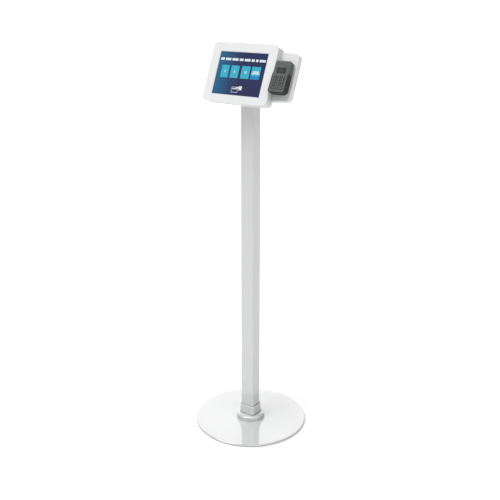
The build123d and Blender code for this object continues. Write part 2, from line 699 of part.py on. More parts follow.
with BuildPart() as lock_barrel:
    with BuildSketch(head_top(0, SHELL_TOP + LOCK_FLANGE_THICK, LOCK_DEPTH)):
        Circle(BARREL_RADIUS)
    extrude(amount=-(LOCK_BODY_LENGTH + LOCK_FLANGE_THICK + BARREL_TAIL))
    with BuildSketch(head_top(0, SHELL_TOP + LOCK_FLANGE_THICK, LOCK_DEPTH)):
        Rectangle(KEYWAY_WIDTH, KEYWAY_LENGTH)
    extrude(amount=-KEYWAY_DEPTH, mode=Mode.SUBTRACT)

with BuildPart() as lock_cam:
    with BuildSketch(head_top(0, CAM_MIDDLE + CAM_THICK / 2, LOCK_DEPTH)):
        Circle(BARREL_RADIUS)
        with Locations((0, -CAM_REACH / 2)):
            Rectangle(2 * CAM_HALF_WIDTH, CAM_REACH)
    extrude(amount=-CAM_THICK)

TAB_U = TABLET_WIDTH / 2 + TAB_GAP
TAB_V = TABLET_TALL / 2 + TAB_GAP

with BuildPart() as tablet_tray:
    with BuildSketch(HEAD.offset(TRAY_BACK)):
        Rectangle(2 * (TAB_U + TRAY_THICK), 2 * (TAB_V + TRAY_THICK))
        Rectangle(TRAY_WINDOW_WIDTH, TRAY_WINDOW_TALL, mode=Mode.SUBTRACT)
        with Locations(*corners(BOSS_U, BOSS_V)):
            Circle(SMALL_SCREW_RADIUS + FIT, mode=Mode.SUBTRACT)
    extrude(amount=TRAY_THICK)
    with BuildSketch(HEAD.offset(TRAY_BACK)):
        with GridLocations(2 * TAB_U + TRAY_THICK, TAB_SPACING_V, 2, 2):
            Rectangle(TRAY_THICK, TAB_LENGTH)
        with GridLocations(TAB_SPACING_U, 2 * TAB_V + TRAY_THICK, 2, 2):
            Rectangle(TAB_LENGTH, TRAY_THICK)
    extrude(amount=TAB_FRONT - TRAY_BACK)

with BuildPart() as tablet_foam_pads:
    with BuildSketch(HEAD.offset(TRAY_FRONT)):
        with Locations(*corners(FOAM_U, FOAM_V)):
            RectangleRounded(FOAM_SIDE, FOAM_SIDE, FOAM_CORNER)
    extrude(amount=-TABLET_THICK - TRAY_FRONT)

with BuildPart() as tablet_body:
    with BuildSketch(HEAD.offset(-GLASS_THICK)):
        RectangleRounded(TABLET_WIDTH, TABLET_TALL, TABLET_CORNER)
    extrude(amount=GLASS_THICK - TABLET_THICK)
    fillet(tablet_body.edges().group_by(HEAD_OUT)[0], TABLET_BACK_ROUND)

with BuildPart() as tablet_glass:
    with BuildSketch(HEAD):
        RectangleRounded(TABLET_WIDTH, TABLET_TALL, TABLET_CORNER)
    extrude(amount=-GLASS_THICK)

# ---------------------------------------------------------------- wing
WING_INNER = SHELL_WIDTH / 2

with BuildSketch() as wing_outline:
    with BuildLine():
        Polyline(
            (WING_INNER, WING_TOP_INNER),
            (WING_OUTER, WING_TOP_OUTER),
            (WING_OUTER, WING_BOTTOM_OUTER),
            (WING_INNER, WING_BOTTOM_INNER),
            close=True,
        )
    make_face()
    fillet(wing_outline.vertices().group_by(Axis.X)[-1], WING_CORNER)

with BuildSketch() as wing_cover_outline:
    add(wing_outline.sketch)
    offset(amount=-WING_WALL - WING_COVER_GAP, mode=Mode.REPLACE)

WING_BOSSES = [
    (WING_INNER + WING_BOSS_INNER, WING_TOP_INNER - WING_BOSS_OUTER),
    (WING_OUTER - WING_BOSS_OUTER, WING_TOP_OUTER - WING_BOSS_OUTER),
    (WING_INNER + WING_BOSS_INNER, WING_BOTTOM_INNER + WING_BOSS_OUTER),
    (WING_OUTER - WING_BOSS_OUTER, WING_BOTTOM_OUTER + WING_BOSS_OUTER),
]
WING_COVER_FRONT = SHELL_BACK + WING_WALL
CRADLE_SPOTS = [
    (READER_U + u, READER_V + v) for u, v in corners(CRADLE_SCREW_U, CRADLE_SCREW_V)
]

with BuildPart() as wing_shell:
    with BuildSketch(HEAD.offset(WING_FRONT)):
        add(wing_outline.sketch)
    extrude(amount=SHELL_BACK - WING_FRONT)
    rim = wing_shell.edges().group_by(HEAD_OUT)[-1].sort_by(Axis.X)[1:]
    fillet(rim, WING_ROUND)
    offset(amount=-WING_WALL, openings=wing_shell.faces().sort_by(HEAD_OUT)[0])
    with BuildSketch(HEAD.offset(WING_COVER_FRONT)):
        with Locations(*WING_BOSSES):
            Circle(WING_BOSS_RADIUS)
    extrude(amount=WING_FRONT - WING_WALL - WING_COVER_FRONT)
    with BuildSketch(HEAD.offset(WING_COVER_FRONT)):
        with Locations(*WING_BOSSES):
            Circle(COVER_SCREW_RADIUS + FIT)
    extrude(amount=COVER_SCREW_LENGTH, mode=Mode.SUBTRACT)
    with BuildSketch(HEAD.offset(WING_FRONT)):
        with Locations(*CRADLE_SPOTS):
            Circle(SMALL_SCREW_RADIUS + FIT)
        with Locations((READER_U, READER_V)):
            Circle(WING_CABLE_RADIUS)
    extrude(amount=-2 * WING_WALL, mode=Mode.SUBTRACT)
    with BuildSketch(head_side(WING_INNER, 0, WING_SCREW_DEPTH)):
        with Locations(*WING_SCREW_SPOTS):
            Circle(SMALL_SCREW_RADIUS + FIT)
    extrude(amount=2 * WING_WALL, mode=Mode.SUBTRACT)

with BuildPart() as wing_cover:
    with BuildSketch(HEAD.offset(WING_COVER_FRONT)):
        add(wing_cover_outline.sketch)
        with Locations(*WING_BOSSES):
            Circle(COVER_SCREW_RADIUS + FIT, mode=Mode.SUBTRACT)
    extrude(amount=-WING_WALL)

wing_cover_screws = screws(
    Plane(origin=HEAD.offset(SHELL_BACK).origin, x_dir=(1, 0, 0), z_dir=-HEAD.z_dir),
    [(u, -v) for u, v in WING_BOSSES],
    COVER_SCREW_RADIUS,
    COVER_SCREW_LENGTH,
    COVER_SCREW_HEAD,
    COVER_SCREW_HEAD_HEIGHT,
)

# ---------------------------------------------------------------- card reader
READER_BACK = READER.offset(-READER_THICK)
CASE_SCREW_SPOTS = [(u, v) for u in (-CASE_SCREW_U, CASE_SCREW_U) for v in CASE_SCREW_V]
SLOT_PLANE = Plane(
    origin=READER.from_local_coords((0, -READER_TALL / 2, CARD_SLOT_BACK + CARD_SLOT_TALL / 2)),
    x_dir=(1, 0, 0),
    z_dir=-READER.y_dir,
)
INLAY_PLANE = Plane(
    origin=READER.from_local_coords((CASE_WIDTH / 2 - INLAY_SINK, INLAY_V, INLAY_DEPTH)),
    x_dir=READER.y_dir,
    z_dir=(1, 0, 0),
)
KEY_NAMES = (
    ("key_1", "key_2", "key_3"),
    ("key_4", "key_5", "key_6"),
    ("key_7", "key_8", "key_9"),
    ("key_star", "key_0", "key_hash"),
    ("key_cancel", "key_clear", "key_enter"),
)
KEY_SPOTS = {
    name: ((column - 1) * KEY_PITCH_U, KEY_ROWS[row])
    for row, names in enumerate(KEY_NAMES)
    for column, name in enumerate(names)
}

# wedge between the wing and the reader, with a rail that the reader slides onto
with BuildPart() as reader_cradle:
    with BuildSketch(HEAD.offset(WING_FRONT)):
        with Locations((READER_U, READER_V - READER_THICK * sin(radians(READER_WEDGE)))):
            RectangleRounded(CRADLE_WIDTH, CRADLE_TALL, CRADLE_CORNER)
    extrude(amount=-WING_FRONT)
    split(bisect_by=READER_BACK, keep=Keep.BOTTOM)
    with BuildSketch(READER_BACK):
        Rectangle(RAIL_STEM, RAIL_LENGTH)
    extrude(amount=RAIL_STEP)
    with BuildSketch(READER_BACK.offset(RAIL_STEP)):
        Rectangle(RAIL_HEAD, RAIL_LENGTH)
    extrude(amount=RAIL_STEP)
    with BuildSketch(HEAD.offset(WING_FRONT)):
        with Locations(*CRADLE_SPOTS):
            Circle(SMALL_SCREW_RADIUS + FIT)
    extrude(amount=SMALL_SCREW_LENGTH - WING_WALL, mode=Mode.SUBTRACT)

# the small screws of one size: tray to shell, wing to shell, cradle to wing
wing_inside = Plane(
    origin=HEAD.offset(WING_FRONT - WING_WALL).origin, x_dir=(1, 0, 0), z_dir=-HEAD.z_dir
)
small_screw_groups = (
    (HEAD.offset(TRAY_FRONT), corners(BOSS_U, BOSS_V)),
    (head_side(WING_INNER + WING_WALL, 0, WING_SCREW_DEPTH), WING_SCREW_SPOTS),
    (wing_inside, [(u, -v) for u, v in CRADLE_SPOTS]),
)
with BuildPart() as small_screws:
    for plane, spots in small_screw_groups:
        add(
            screws(
                plane,
                spots,
                SMALL_SCREW_RADIUS,
                SMALL_SCREW_LENGTH,
                SMALL_HEAD_RADIUS,
                SMALL_HEAD_HEIGHT,
            ).part
        )

with BuildPart() as reader_lower_case:
    with BuildSketch(READER_BACK):
        RectangleRounded(CASE_WIDTH, CASE_TALL, CASE_CORNER)
    extrude(amount=READER_THICK + CASE_SPLIT)
    chamfer(reader_lower_case.edges().group_by(READER_OUT)[0], CASE_BEVEL)
    with BuildSketch(READER_BACK.offset(CASE_FLOOR)):
        RectangleRounded(
            CASE_WIDTH - 2 * CASE_WALL, CASE_TALL - 2 * CASE_WALL, CASE_CORNER - CASE_WALL
        )
    extrude(amount=READER_THICK, mode=Mode.SUBTRACT)
    with BuildSketch(READER_BACK.offset(CASE_FLOOR)):
        with Locations(*CASE_SCREW_SPOTS):
            Circle(CASE_BOSS_RADIUS)
    extrude(amount=READER_THICK + CASE_SPLIT - CASE_FLOOR)
    with BuildSketch(READER_BACK):
        with Locations(*CASE_SCREW_SPOTS):
            Circle(CASE_SCREW_RADIUS + FIT)
    extrude(amount=READER_THICK, mode=Mode.SUBTRACT)
    with BuildSketch(READER_BACK):
        with Locations(*CASE_SCREW_SPOTS):
            Circle(CASE_BOSS_RADIUS)
    extrude(amount=CASE_SCREW_SINK, mode=Mode.SUBTRACT)
    # T-slot for the cradle's rail, open at its lower end
    with BuildSketch(READER_BACK):
        with Locations((0, -RAIL_LENGTH / 4)):
            Rectangle(RAIL_STEM + 2 * RAIL_GAP, 1.5 * RAIL_LENGTH + 2 * RAIL_GAP)
    extrude(amount=RAIL_STEP + RAIL_GAP, mode=Mode.SUBTRACT)
    with BuildSketch(READER_BACK.offset(RAIL_STEP - RAIL_GAP)):
        with Locations((0, -RAIL_LENGTH / 4)):
            Rectangle(RAIL_HEAD + 2 * RAIL_GAP, 1.5 * RAIL_LENGTH + 2 * RAIL_GAP)
    extrude(amount=RAIL_STEP + 2 * RAIL_GAP, mode=Mode.SUBTRACT)
    with BuildSketch(SLOT_PLANE):
        Rectangle(CARD_SLOT_WIDTH, CARD_SLOT_TALL)
    extrude(amount=-CARD_SLOT_DEPTH, mode=Mode.SUBTRACT)
    with BuildSketch(INLAY_PLANE):
        RectangleRounded(
            INLAY_LONG + 2 * INNER_GAP, INLAY_TALL + 2 * INNER_GAP, INLAY_CORNER + INNER_GAP
        )
    extrude(amount=2 * INLAY_SINK, mode=Mode.SUBTRACT)

with BuildPart() as reader_face:
    with BuildSketch(READER.offset(CASE_SPLIT)):
        RectangleRounded(CASE_WIDTH, CASE_TALL, CASE_CORNER)
    extrude(amount=-CASE_SPLIT)
    fillet(reader_face.edges().group_by(READER_OUT)[-1], FACE_ROUND)
    with BuildSketch(READER.offset(CASE_SPLIT)):
        RectangleRounded(
            CASE_WIDTH - 2 * CASE_WALL, CASE_TALL - 2 * CASE_WALL, CASE_CORNER - CASE_WALL
        )
    extrude(amount=-CASE_SPLIT - FACE_PLATE, mode=Mode.SUBTRACT)
    with BuildSketch(READER.offset(CASE_SPLIT)):
        with Locations(*CASE_SCREW_SPOTS):
            Circle(CASE_BOSS_RADIUS)
    extrude(amount=-CASE_SPLIT - FACE_PLATE)
    with BuildSketch(READER.offset(CASE_SPLIT)):
        with Locations(*CASE_SCREW_SPOTS):
            Circle(CASE_SCREW_RADIUS + FIT)
    extrude(amount=CASE_SCREW_GRIP, mode=Mode.SUBTRACT)
    with BuildSketch(READER):
        with Locations((0, LCD_V)):
            RectangleRounded(LCD_WIDTH, LCD_TALL, LCD_CORNER)
        with Locations(*KEY_SPOTS.values()):
            RectangleRounded(KEY_WIDTH + 2 * KEY_GAP, KEY_TALL + 2 * KEY_GAP, KEY_CORNER)
    extrude(amount=-FACE_PLATE, mode=Mode.SUBTRACT)
    with BuildSketch(INLAY_PLANE):
        RectangleRounded(
            INLAY_LONG + 2 * INNER_GAP, INLAY_TALL + 2 * INNER_GAP, INLAY_CORNER + INNER_GAP
        )
    extrude(amount=2 * INLAY_SINK, mode=Mode.SUBTRACT)

# soft bumper round the lower part of the reader: two arms and a closed end
with BuildPart() as reader_bumper:
    with BuildSketch(READER.offset(BUMPER_BACK)):
        RectangleRounded(READER_WIDTH, READER_TALL, READER_CORNER)
    extrude(amount=BUMPER_LIP_HEIGHT - BUMPER_BACK)
    fillet(reader_bumper.edges().group_by(READER_OUT)[-1], BUMPER_ROUND)
    fillet(reader_bumper.edges().group_by(READER_OUT)[0], BUMPER_BACK_ROUND)
    with BuildSketch(READER.offset(BUMPER_BACK)):
        RectangleRounded(
            CASE_WIDTH + 2 * BUMPER_GAP, CASE_TALL + 2 * BUMPER_GAP, CASE_CORNER + BUMPER_GAP
        )
    extrude(amount=BUMPER_GAP - BUMPER_BACK, mode=Mode.SUBTRACT)
    with BuildSketch(READER):
        RectangleRounded(
            CASE_WIDTH - 2 * BUMPER_LIP, CASE_TALL - 2 * BUMPER_LIP, CASE_CORNER - BUMPER_LIP
        )
    extrude(amount=2 * BUMPER_LIP_HEIGHT, mode=Mode.SUBTRACT)
    with BuildSketch(READER.offset(BUMPER_BACK)):
        with Locations((0, BUMPER_TOP + READER_TALL / 2)):
            Rectangle(2 * READER_WIDTH, READER_TALL)
    extrude(amount=READER_THICK, mode=Mode.SUBTRACT)
    with BuildSketch(SLOT_PLANE):
        Rectangle(CARD_SLOT_WIDTH, CARD_SLOT_TALL)
    extrude(amount=-CARD_SLOT_DEPTH, mode=Mode.SUBTRACT)

with BuildPart() as display_window:
    with BuildSketch(READER.offset(-LCD_SINK)):
        with Locations((0, LCD_V)):
            RectangleRounded(LCD_WIDTH - 2 * LCD_GAP, LCD_TALL - 2 * LCD_GAP, LCD_CORNER - LCD_GAP)
    extrude(amount=-LCD_THICK)

with BuildPart() as display_module:
    with BuildSketch(READER.offset(BOARD_BACK + BOARD_THICK)):
        with Locations((0, LCD_V)):
            Rectangle(LCD_WIDTH + 2 * MODULE_MARGIN, LCD_TALL + 2 * MODULE_MARGIN)
    extrude(amount=-FACE_PLATE - BOARD_BACK - BOARD_THICK - PLAY)

with BuildPart() as reader_board:
    with BuildSketch(READER.offset(BOARD_BACK)):
        RectangleRounded(
            CASE_WIDTH - 2 * (CASE_WALL + BOARD_MARGIN),
            CASE_TALL - 2 * (CASE_WALL + BOARD_MARGIN),
            CASE_CORNER - CASE_WALL,
        )
        with Locations(*CASE_SCREW_SPOTS):
            Circle(CASE_BOSS_RADIUS + BOARD_BOSS_GAP, mode=Mode.SUBTRACT)
    extrude(amount=BOARD_THICK)

with BuildPart() as key_dome_sheet:
    with BuildSketch(READER.offset(BOARD_BACK + BOARD_THICK)):
        with Locations((0, (KEY_ROWS[0] + KEY_ROWS[-1]) / 2)):
            Rectangle(DOME_WIDTH, DOME_TALL)
    extrude(amount=DOME_THICK)

with BuildPart() as reader_battery:
    with BuildSketch(READER_BACK.offset(CASE_FLOOR + INNER_GAP)):
        with Locations((0, BATTERY_V)):
            RectangleRounded(BATTERY_WIDTH, BATTERY_TALL, BATTERY_CORNER)
    extrude(amount=BATTERY_THICK)

# contact block open at its mouth and sides, so a card slides in between its jaws
with BuildPart() as card_contact_block:
    with BuildSketch(READER_BACK.offset(CASE_FLOOR + INNER_GAP)):
        with Locations((0, CONTACT_V)):
            Rectangle(CONTACT_WIDTH, CONTACT_TALL)
    extrude(amount=CARD_SLOT_BACK + READER_THICK - CASE_FLOOR - INNER_GAP)
    with BuildSketch(READER.offset(CARD_SLOT_BACK)):
        with Locations((0, CONTACT_V + (CONTACT_TALL - CONTACT_WEB) / 2)):
            Rectangle(CONTACT_WIDTH, CONTACT_WEB)
    extrude(amount=CARD_SLOT_TALL)
    with BuildSketch(READER.offset(CARD_SLOT_BACK + CARD_SLOT_TALL)):
        with Locations((0, CONTACT_V)):
            Rectangle(CONTACT_WIDTH, CONTACT_TALL)
    extrude(amount=CONTACT_TOP)

case_screw_plane = Plane(
    origin=READER_BACK.offset(CASE_SCREW_SINK).origin, x_dir=(1, 0, 0), z_dir=-READER.z_dir
)
reader_case_screws = screws(
    case_screw_plane,
    [(u, -v) for u, v in CASE_SCREW_SPOTS],
    CASE_SCREW_RADIUS,
    CASE_SCREW_LENGTH,
    CASE_SCREW_HEAD,
    CASE_SCREW_HEAD_HEIGHT,
)

# glossy panel let into the right side of the case, above the bumper
with BuildPart() as side_inlay:
    with BuildSketch(INLAY_PLANE):
        RectangleRounded(INLAY_LONG, INLAY_TALL, INLAY_CORNER)
    extrude(amount=INLAY_SINK + INLAY_PROUD)
    fillet(side_inlay.edges().group_by(Axis.X)[-1], INLAY_ROUND)


def reader_key(spot):
    """One key: a rounded cap that shows through the face, with a flange that keeps it in."""
    with BuildPart() as key:
        with BuildSketch(READER.offset(KEY_PROUD)):
            with Locations(spot):
                RectangleRounded(KEY_WIDTH, KEY_TALL, KEY_CORNER)
        extrude(amount=-KEY_PROUD - FACE_PLATE - KEY_LIFT)
        fillet(key.edges().group_by(READER_OUT)[-1], KEY_ROUND)
        with BuildSketch(READER.offset(-FACE_PLATE - KEY_LIFT)):
            with Locations(spot):
                RectangleRounded(
                    KEY_WIDTH + 2 * KEY_FLANGE, KEY_TALL + 2 * KEY_FLANGE, KEY_CORNER
                )
        extrude(amount=-KEY_FLANGE_THICK)
    return key


# ---------------------------------------------------------------- output
pieces = {
    "base_plate": base_plate,
    "base_foot_pads": base_foot_pads,
    "socket_sleeve": socket_sleeve,
    "socket_cover": socket_cover,
    "socket_bolts": socket_bolts,
    "sleeve_grub_screws": sleeve_grub_screws,
    "post": post,
    "post_grommet": post_grommet,
    "tilt_yoke": tilt_yoke,
    "yoke_screws": yoke_screws,
    "tilt_pin": tilt_pin,
    "tilt_nut": tilt_nut,
    "tilt_washers": tilt_washers,
    "tilt_knuckle": tilt_knuckle,
    "knuckle_screws": knuckle_screws,
    "rear_shell": rear_shell,
    "shell_grommet": shell_grommet,
    "hinge_pins": hinge_pins,
    "front_bezel": front_bezel,
    "bezel_gasket": bezel_gasket,
    "lock_keeper": lock_keeper,
    "lock_body": lock_body,
    "lock_barrel": lock_barrel,
    "lock_cam": lock_cam,
    "tablet_tray": tablet_tray,
    "tablet_foam_pads": tablet_foam_pads,
    "tablet_body": tablet_body,
    "tablet_glass": tablet_glass,
    "wing_shell": wing_shell,
    "wing_cover": wing_cover,
    "wing_cover_screws": wing_cover_screws,
    "reader_cradle": reader_cradle,
    "small_screws": small_screws,
    "reader_lower_case": reader_lower_case,
    "reader_face": reader_face,
    "reader_bumper": reader_bumper,
    "display_window": display_window,
    "display_module": display_module,
    "reader_board": reader_board,
    "key_dome_sheet": key_dome_sheet,
    "reader_battery": reader_battery,
    "card_contact_block": card_contact_block,
    "reader_case_screws": reader_case_screws,
    "side_inlay": side_inlay,
}
for key_name, key_spot in KEY_SPOTS.items():
    pieces[key_name] = reader_key(key_spot)

os.makedirs("parts", exist_ok=True)
for name, piece in pieces.items():
    piece.part.label = name
    export_step(piece.part, f"parts/{name}.step")
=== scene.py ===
import json
from math import cos, pi, radians, sin

import bmesh
import bpy
from mathutils import Matrix, Vector

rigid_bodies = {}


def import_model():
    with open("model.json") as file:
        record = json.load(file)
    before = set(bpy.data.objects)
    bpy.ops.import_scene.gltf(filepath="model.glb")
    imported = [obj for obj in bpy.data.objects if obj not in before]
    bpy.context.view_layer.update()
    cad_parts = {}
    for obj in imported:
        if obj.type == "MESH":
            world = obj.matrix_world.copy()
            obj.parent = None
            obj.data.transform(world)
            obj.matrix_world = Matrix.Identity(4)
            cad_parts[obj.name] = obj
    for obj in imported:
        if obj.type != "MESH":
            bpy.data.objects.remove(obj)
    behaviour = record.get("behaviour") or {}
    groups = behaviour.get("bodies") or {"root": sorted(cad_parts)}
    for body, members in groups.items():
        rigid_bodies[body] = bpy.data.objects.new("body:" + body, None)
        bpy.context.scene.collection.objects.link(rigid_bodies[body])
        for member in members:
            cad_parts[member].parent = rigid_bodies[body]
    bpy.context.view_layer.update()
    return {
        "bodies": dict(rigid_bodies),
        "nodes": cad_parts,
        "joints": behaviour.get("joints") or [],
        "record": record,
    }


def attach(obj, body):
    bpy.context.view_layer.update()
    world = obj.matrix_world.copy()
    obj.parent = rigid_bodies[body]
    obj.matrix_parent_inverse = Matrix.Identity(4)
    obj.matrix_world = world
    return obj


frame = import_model()

bl_info = {
    "name": "Payment Kiosk",
    "version": (1, 0, 0),
    "blender": (4, 5, 0),
    "location": "3D View > Sidebar > Kiosk",
    "description": "Finishes and fine parts of a free-standing payment kiosk",
    "category": "Object",
}

X_AXIS = Vector((1, 0, 0))
Y_AXIS = Vector((0, 1, 0))
UP = Vector((0, 0, 1))

# thickness of one layer on the screen and of one print on the reader, in metres
LAYER = 0.00006
PRINT = 0.00008

# steps round a corner or a ring, and how digits are drawn
SCREEN_STEPS = 4
READER_STEPS = 6
SHADE_RING_STEPS = 6
RING_STEPS = 24
SMOOTH_ANGLE = radians(30)
LETTER_WEIGHT = 0.02
LETTER_STEPS = 4
WELD = 1e-6

# parts of the kiosk with the glossy coat
GLOSSY_NODES = ("base_plate", "socket_cover")

# half the width and half the height, in metres, of a box that holds the bezel's window
WINDOW_SEARCH = (0.115, 0.088)

# the screen's width over its height
SCREEN_SHAPE = 4 / 3

# the screen's layout, in spans of its width and height from the top left corner
SCREEN_EDGE = 0.002
HEADING_LEFT = 0.035
HEADING_TOP = 0.150
HEADING_BOTTOM = 0.205
HEADING_WORDS = (0.080, 0.112, 0.128, 0.078, 0.120, 0.062, 0.050, 0.122)
HEADING_SPACE = 0.025
COLUMNS = ((0.095, 0.255), (0.297, 0.465), (0.517, 0.692), (0.724, 0.905))
BUTTON_TOP = 0.315
BUTTON_BOTTOM = 0.60
BAND_TOP = 0.525
OTHER_BARS = ((0.415, 0.03), (0.455, 0.015))
OTHER_BAR_TALL = 0.028
NUMBER_DOWN = 0.46
CARD_SIGN = (0.40, 0.80, 0.53, 0.925)
CARD_LINE = 0.006
CARD_STRIPE = (0.415, 0.83, 0.515, 0.85)
HAND_PALM = (0.545, 0.775, 0.605, 0.865)
HAND_FINGER = (0.49, 0.795, 0.56, 0.825)

# where the background's fade starts, left of the screen, and where it ends, in spans of the width
FADE_START = 0.15
FADE_END = 0.55

# corners and digits on the screen, in metres
SCREEN_CORNER = 0.0004
SMALL_CORNER = 0.0008
BUTTON_CORNER = 0.0016
CARD_CORNER = 0.0006
HAND_CORNER = 0.0018
NUMBER_SIZE = 0.0125

# the reader's small display, in spans of its window
PICTURE_WIDTH = 0.84
PICTURE_HEIGHT = 0.80
BAR_LENGTHS = (0.62, 0.44, 0.54)
BAR_LEFT = 0.72
BAR_ROW = 0.22
BAR_TALL = 0.07

# corners on the reader's small display, in metres
PICTURE_CORNER = 0.0006
BAR_CORNER = 0.0003

# the keys, and the sizes of their marks in metres
KEYS = [body for body in frame["bodies"] if body.startswith("key_")]
DIGIT_KEYS = {f"key_{digit}": str(digit) for digit in range(10)}
DIGIT_SIZE = 0.0062
THIN_STROKE = 0.0005
STROKE = 0.0006
STAR_SPAN = 0.0032
HASH_SPAN = 0.0034
HASH_OFFSET = 0.0006
CROSS_SPAN = 0.0036
ARROW_SPAN = 0.0026
ARROW_OFFSET = 0.0008
RING_RADIUS = 0.0019

# the ring's inner edge, as a share of its radius
RING_INNER = 0.68

# dark rings of painted shade at the foot of the post, standing in for the shadow where the post meets the
# sleeve and the sleeve meets the cover, and the slice that finds a top end, in metres
SHADE_RING_WIDTH = 0.0016
SHADE_RING_HEIGHT = 0.0004
SHADE_RING_CORNER = 0.005
TOP_SLICE = 0.004

# the camera's sensor in millimetres, and how far it sees in metres
SENSOR_WIDTH = 36
VIEW_LIMIT = 400

# the floor and the backdrop: sizes and distance in metres, and squares along a side
FLOOR_HALF = 150
BACKDROP_HALF = 6
BACKDROP_AWAY = 7
SHEET_SQUARES = 4

# directions the soft lights shine from
OVERHEAD_FROM = (-0.7, -1.0, 3.4)
FRONT_FROM = (-0.6, -3.0, 3.2)
RIGHT_FROM = (2.6, -0.9, 2.6)


# ------------------------------------------------------------------ places from the frame
def joint(name):
    """One joint of the frame, by name."""
    return next(j for j in frame["joints"] if j["name"] == name)


def reach(node, direction):
    """Lowest and highest distance of a node along a direction."""
    along = [v.co.dot(direction) for v in frame["nodes"][node].data.vertices]
    return min(along), max(along)


def top_reach(node, direction):
    """How far a node's top end reaches along a level direction."""
    top = reach(node, UP)[1]
    points = [v.co for v in frame["nodes"][node].data.vertices if v.co.z > top - TOP_SLICE]
    return max(point.dot(direction) for point in points)


def facing(outward, node):
    """Matrix of a face: x to the right, y up the face, z outward, from the middle of a node's front."""
    upward = outward.cross(X_AXIS).normalized()
    right_low, right_high = reach(node, X_AXIS)
    up_low, up_high = reach(node, upward)
    origin = (
        X_AXIS * (right_low + right_high) / 2
        + upward * (up_low + up_high) / 2
        + outward * reach(node, outward)[1]
    )
    turn = Matrix((X_AXIS, upward, outward)).transposed().to_4x4()
    return Matrix.Translation(origin) @ turn


HEAD_UP = Vector(joint("lock_turn")["axis"]).normalized()
HEAD = facing(X_AXIS.cross(HEAD_UP), "tablet_glass")
READER_OUT = -Vector(joint("key_5_press")["axis"]).normalized()
WINDOW = facing(READER_OUT, "display_window")


def screen_opening():
    """Corners of the bezel's window on the tablet's face, in the face's own coordinates."""
    back = HEAD.inverted()
    inside = [back @ v.co for v in frame["nodes"]["front_bezel"].data.vertices]
    near = [p for p in inside if abs(p.x) < WINDOW_SEARCH[0] and abs(p.y) < WINDOW_SEARCH[1]]
    return (
        Vector((min(p.x for p in near), min(p.y for p in near))),
        Vector((max(p.x for p in near), max(p.y for p in near))),
    )


# ------------------------------------------------------------------ settings
class KioskFinishSettings(bpy.types.PropertyGroup):
    """Colours of the kiosk's materials."""

    stand_white: bpy.props.FloatVectorProperty(
        name="Stand white", description="Gloss powder coat of base and post",
        subtype="COLOR", size=3, min=0, max=1, default=(0.62, 0.623, 0.627),
    )
    shell_white: bpy.props.FloatVectorProperty(
        name="Shell white", description="Satin powder coat of the tablet head and wing",
        subtype="COLOR", size=3, min=0, max=1, default=(0.72, 0.722, 0.725),
    )
    reader_grey: bpy.props.FloatVectorProperty(
        name="Reader grey", description="Moulded face of the card reader",
        subtype="COLOR", size=3, min=0, max=1, default=(0.080, 0.085, 0.084),
    )
    rim_black: bpy.props.FloatVectorProperty(
        name="Rim black", description="Soft bumper round the card reader",
        subtype="COLOR", size=3, min=0, max=1, default=(0.005, 0.0052, 0.0055),
    )
    key_grey: bpy.props.FloatVectorProperty(
        name="Key grey", description="Rubber of the digit keys",
        subtype="COLOR", size=3, min=0, max=1, default=(0.006, 0.0065, 0.007),
    )
    legend_pale: bpy.props.FloatVectorProperty(
        name="Legend", description="Printed digits on the keys",
        subtype="COLOR", size=3, min=0, max=1, default=(0.42, 0.43, 0.43),
    )


class KioskScreenSettings(bpy.types.PropertyGroup):
    """What the tablet shows."""

    amounts: bpy.props.StringProperty(
        name="Amounts", description="Plain numbers on the buttons, parted by spaces", default="3 5 10"
    )
    deep: bpy.props.FloatVectorProperty(
        name="Deep blue", description="Right side of the background",
        subtype="COLOR", size=3, min=0, max=1, default=(0.024, 0.030, 0.100),
    )
    teal: bpy.props.FloatVectorProperty(
        name="Teal blue", description="Left side of the background",
        subtype="COLOR", size=3, min=0, max=1, default=(0.020, 0.150, 0.300),
    )
    button: bpy.props.FloatVectorProperty(
        name="Button cyan", description="Amount buttons",
        subtype="COLOR", size=3, min=0, max=1, default=(0.045, 0.440, 0.600),
    )
    band: bpy.props.FloatVectorProperty(
        name="Band blue", description="Lower band of the last button",
        subtype="COLOR", size=3, min=0, max=1, default=(0.030, 0.260, 0.560),
    )
    glow: bpy.props.FloatProperty(
        name="Glow", description="Brightness of the lit screen", min=0, max=5, default=0.95
    )


class KioskStageSettings(bpy.types.PropertyGroup):
    """Camera and light."""

    camera_distance: bpy.props.FloatProperty(
        name="Distance", description="Level distance from the post's axis to the camera",
        unit="LENGTH", default=2.850,
    )
    camera_height: bpy.props.FloatProperty(
        name="Height", description="Height of the camera above the floor", unit="LENGTH", default=1.7176
    )
    camera_azimuth: bpy.props.FloatProperty(
        name="Azimuth", description="How far the camera stands round to the reader's side",
        subtype="ANGLE", default=radians(35.7),
    )
    camera_turn: bpy.props.FloatProperty(
        name="Turn", description="How far the camera is turned past the post's axis",
        subtype="ANGLE", default=radians(0.044),
    )
    camera_pitch: bpy.props.FloatProperty(
        name="Pitch", description="How far the camera looks down", subtype="ANGLE", default=radians(18.93)
    )
    camera_lens: bpy.props.FloatProperty(
        name="Lens", description="Focal length in millimetres on a 36 mm sensor", default=55.84
    )
    overhead: bpy.props.FloatProperty(
        name="Overhead", description="Strength of the soft light overhead", default=1.75
    )
    front: bpy.props.FloatProperty(
        name="Front", description="Strength of the soft light in front", default=0.85
    )
    right: bpy.props.FloatProperty(
        name="Right", description="Strength of the soft light on the right", default=0.95
    )
    softness: bpy.props.FloatProperty(
        name="Softness", description="How wide the lights are, seen from the kiosk",
        subtype="ANGLE", default=radians(40),
    )
    world_level: bpy.props.FloatProperty(
        name="Surroundings", description="Brightness of the plain surroundings", default=0.22
    )
    backdrop_glow: bpy.props.FloatProperty(
        name="Backdrop glow", description="Brightness of the lit backdrop", default=1.0
    )


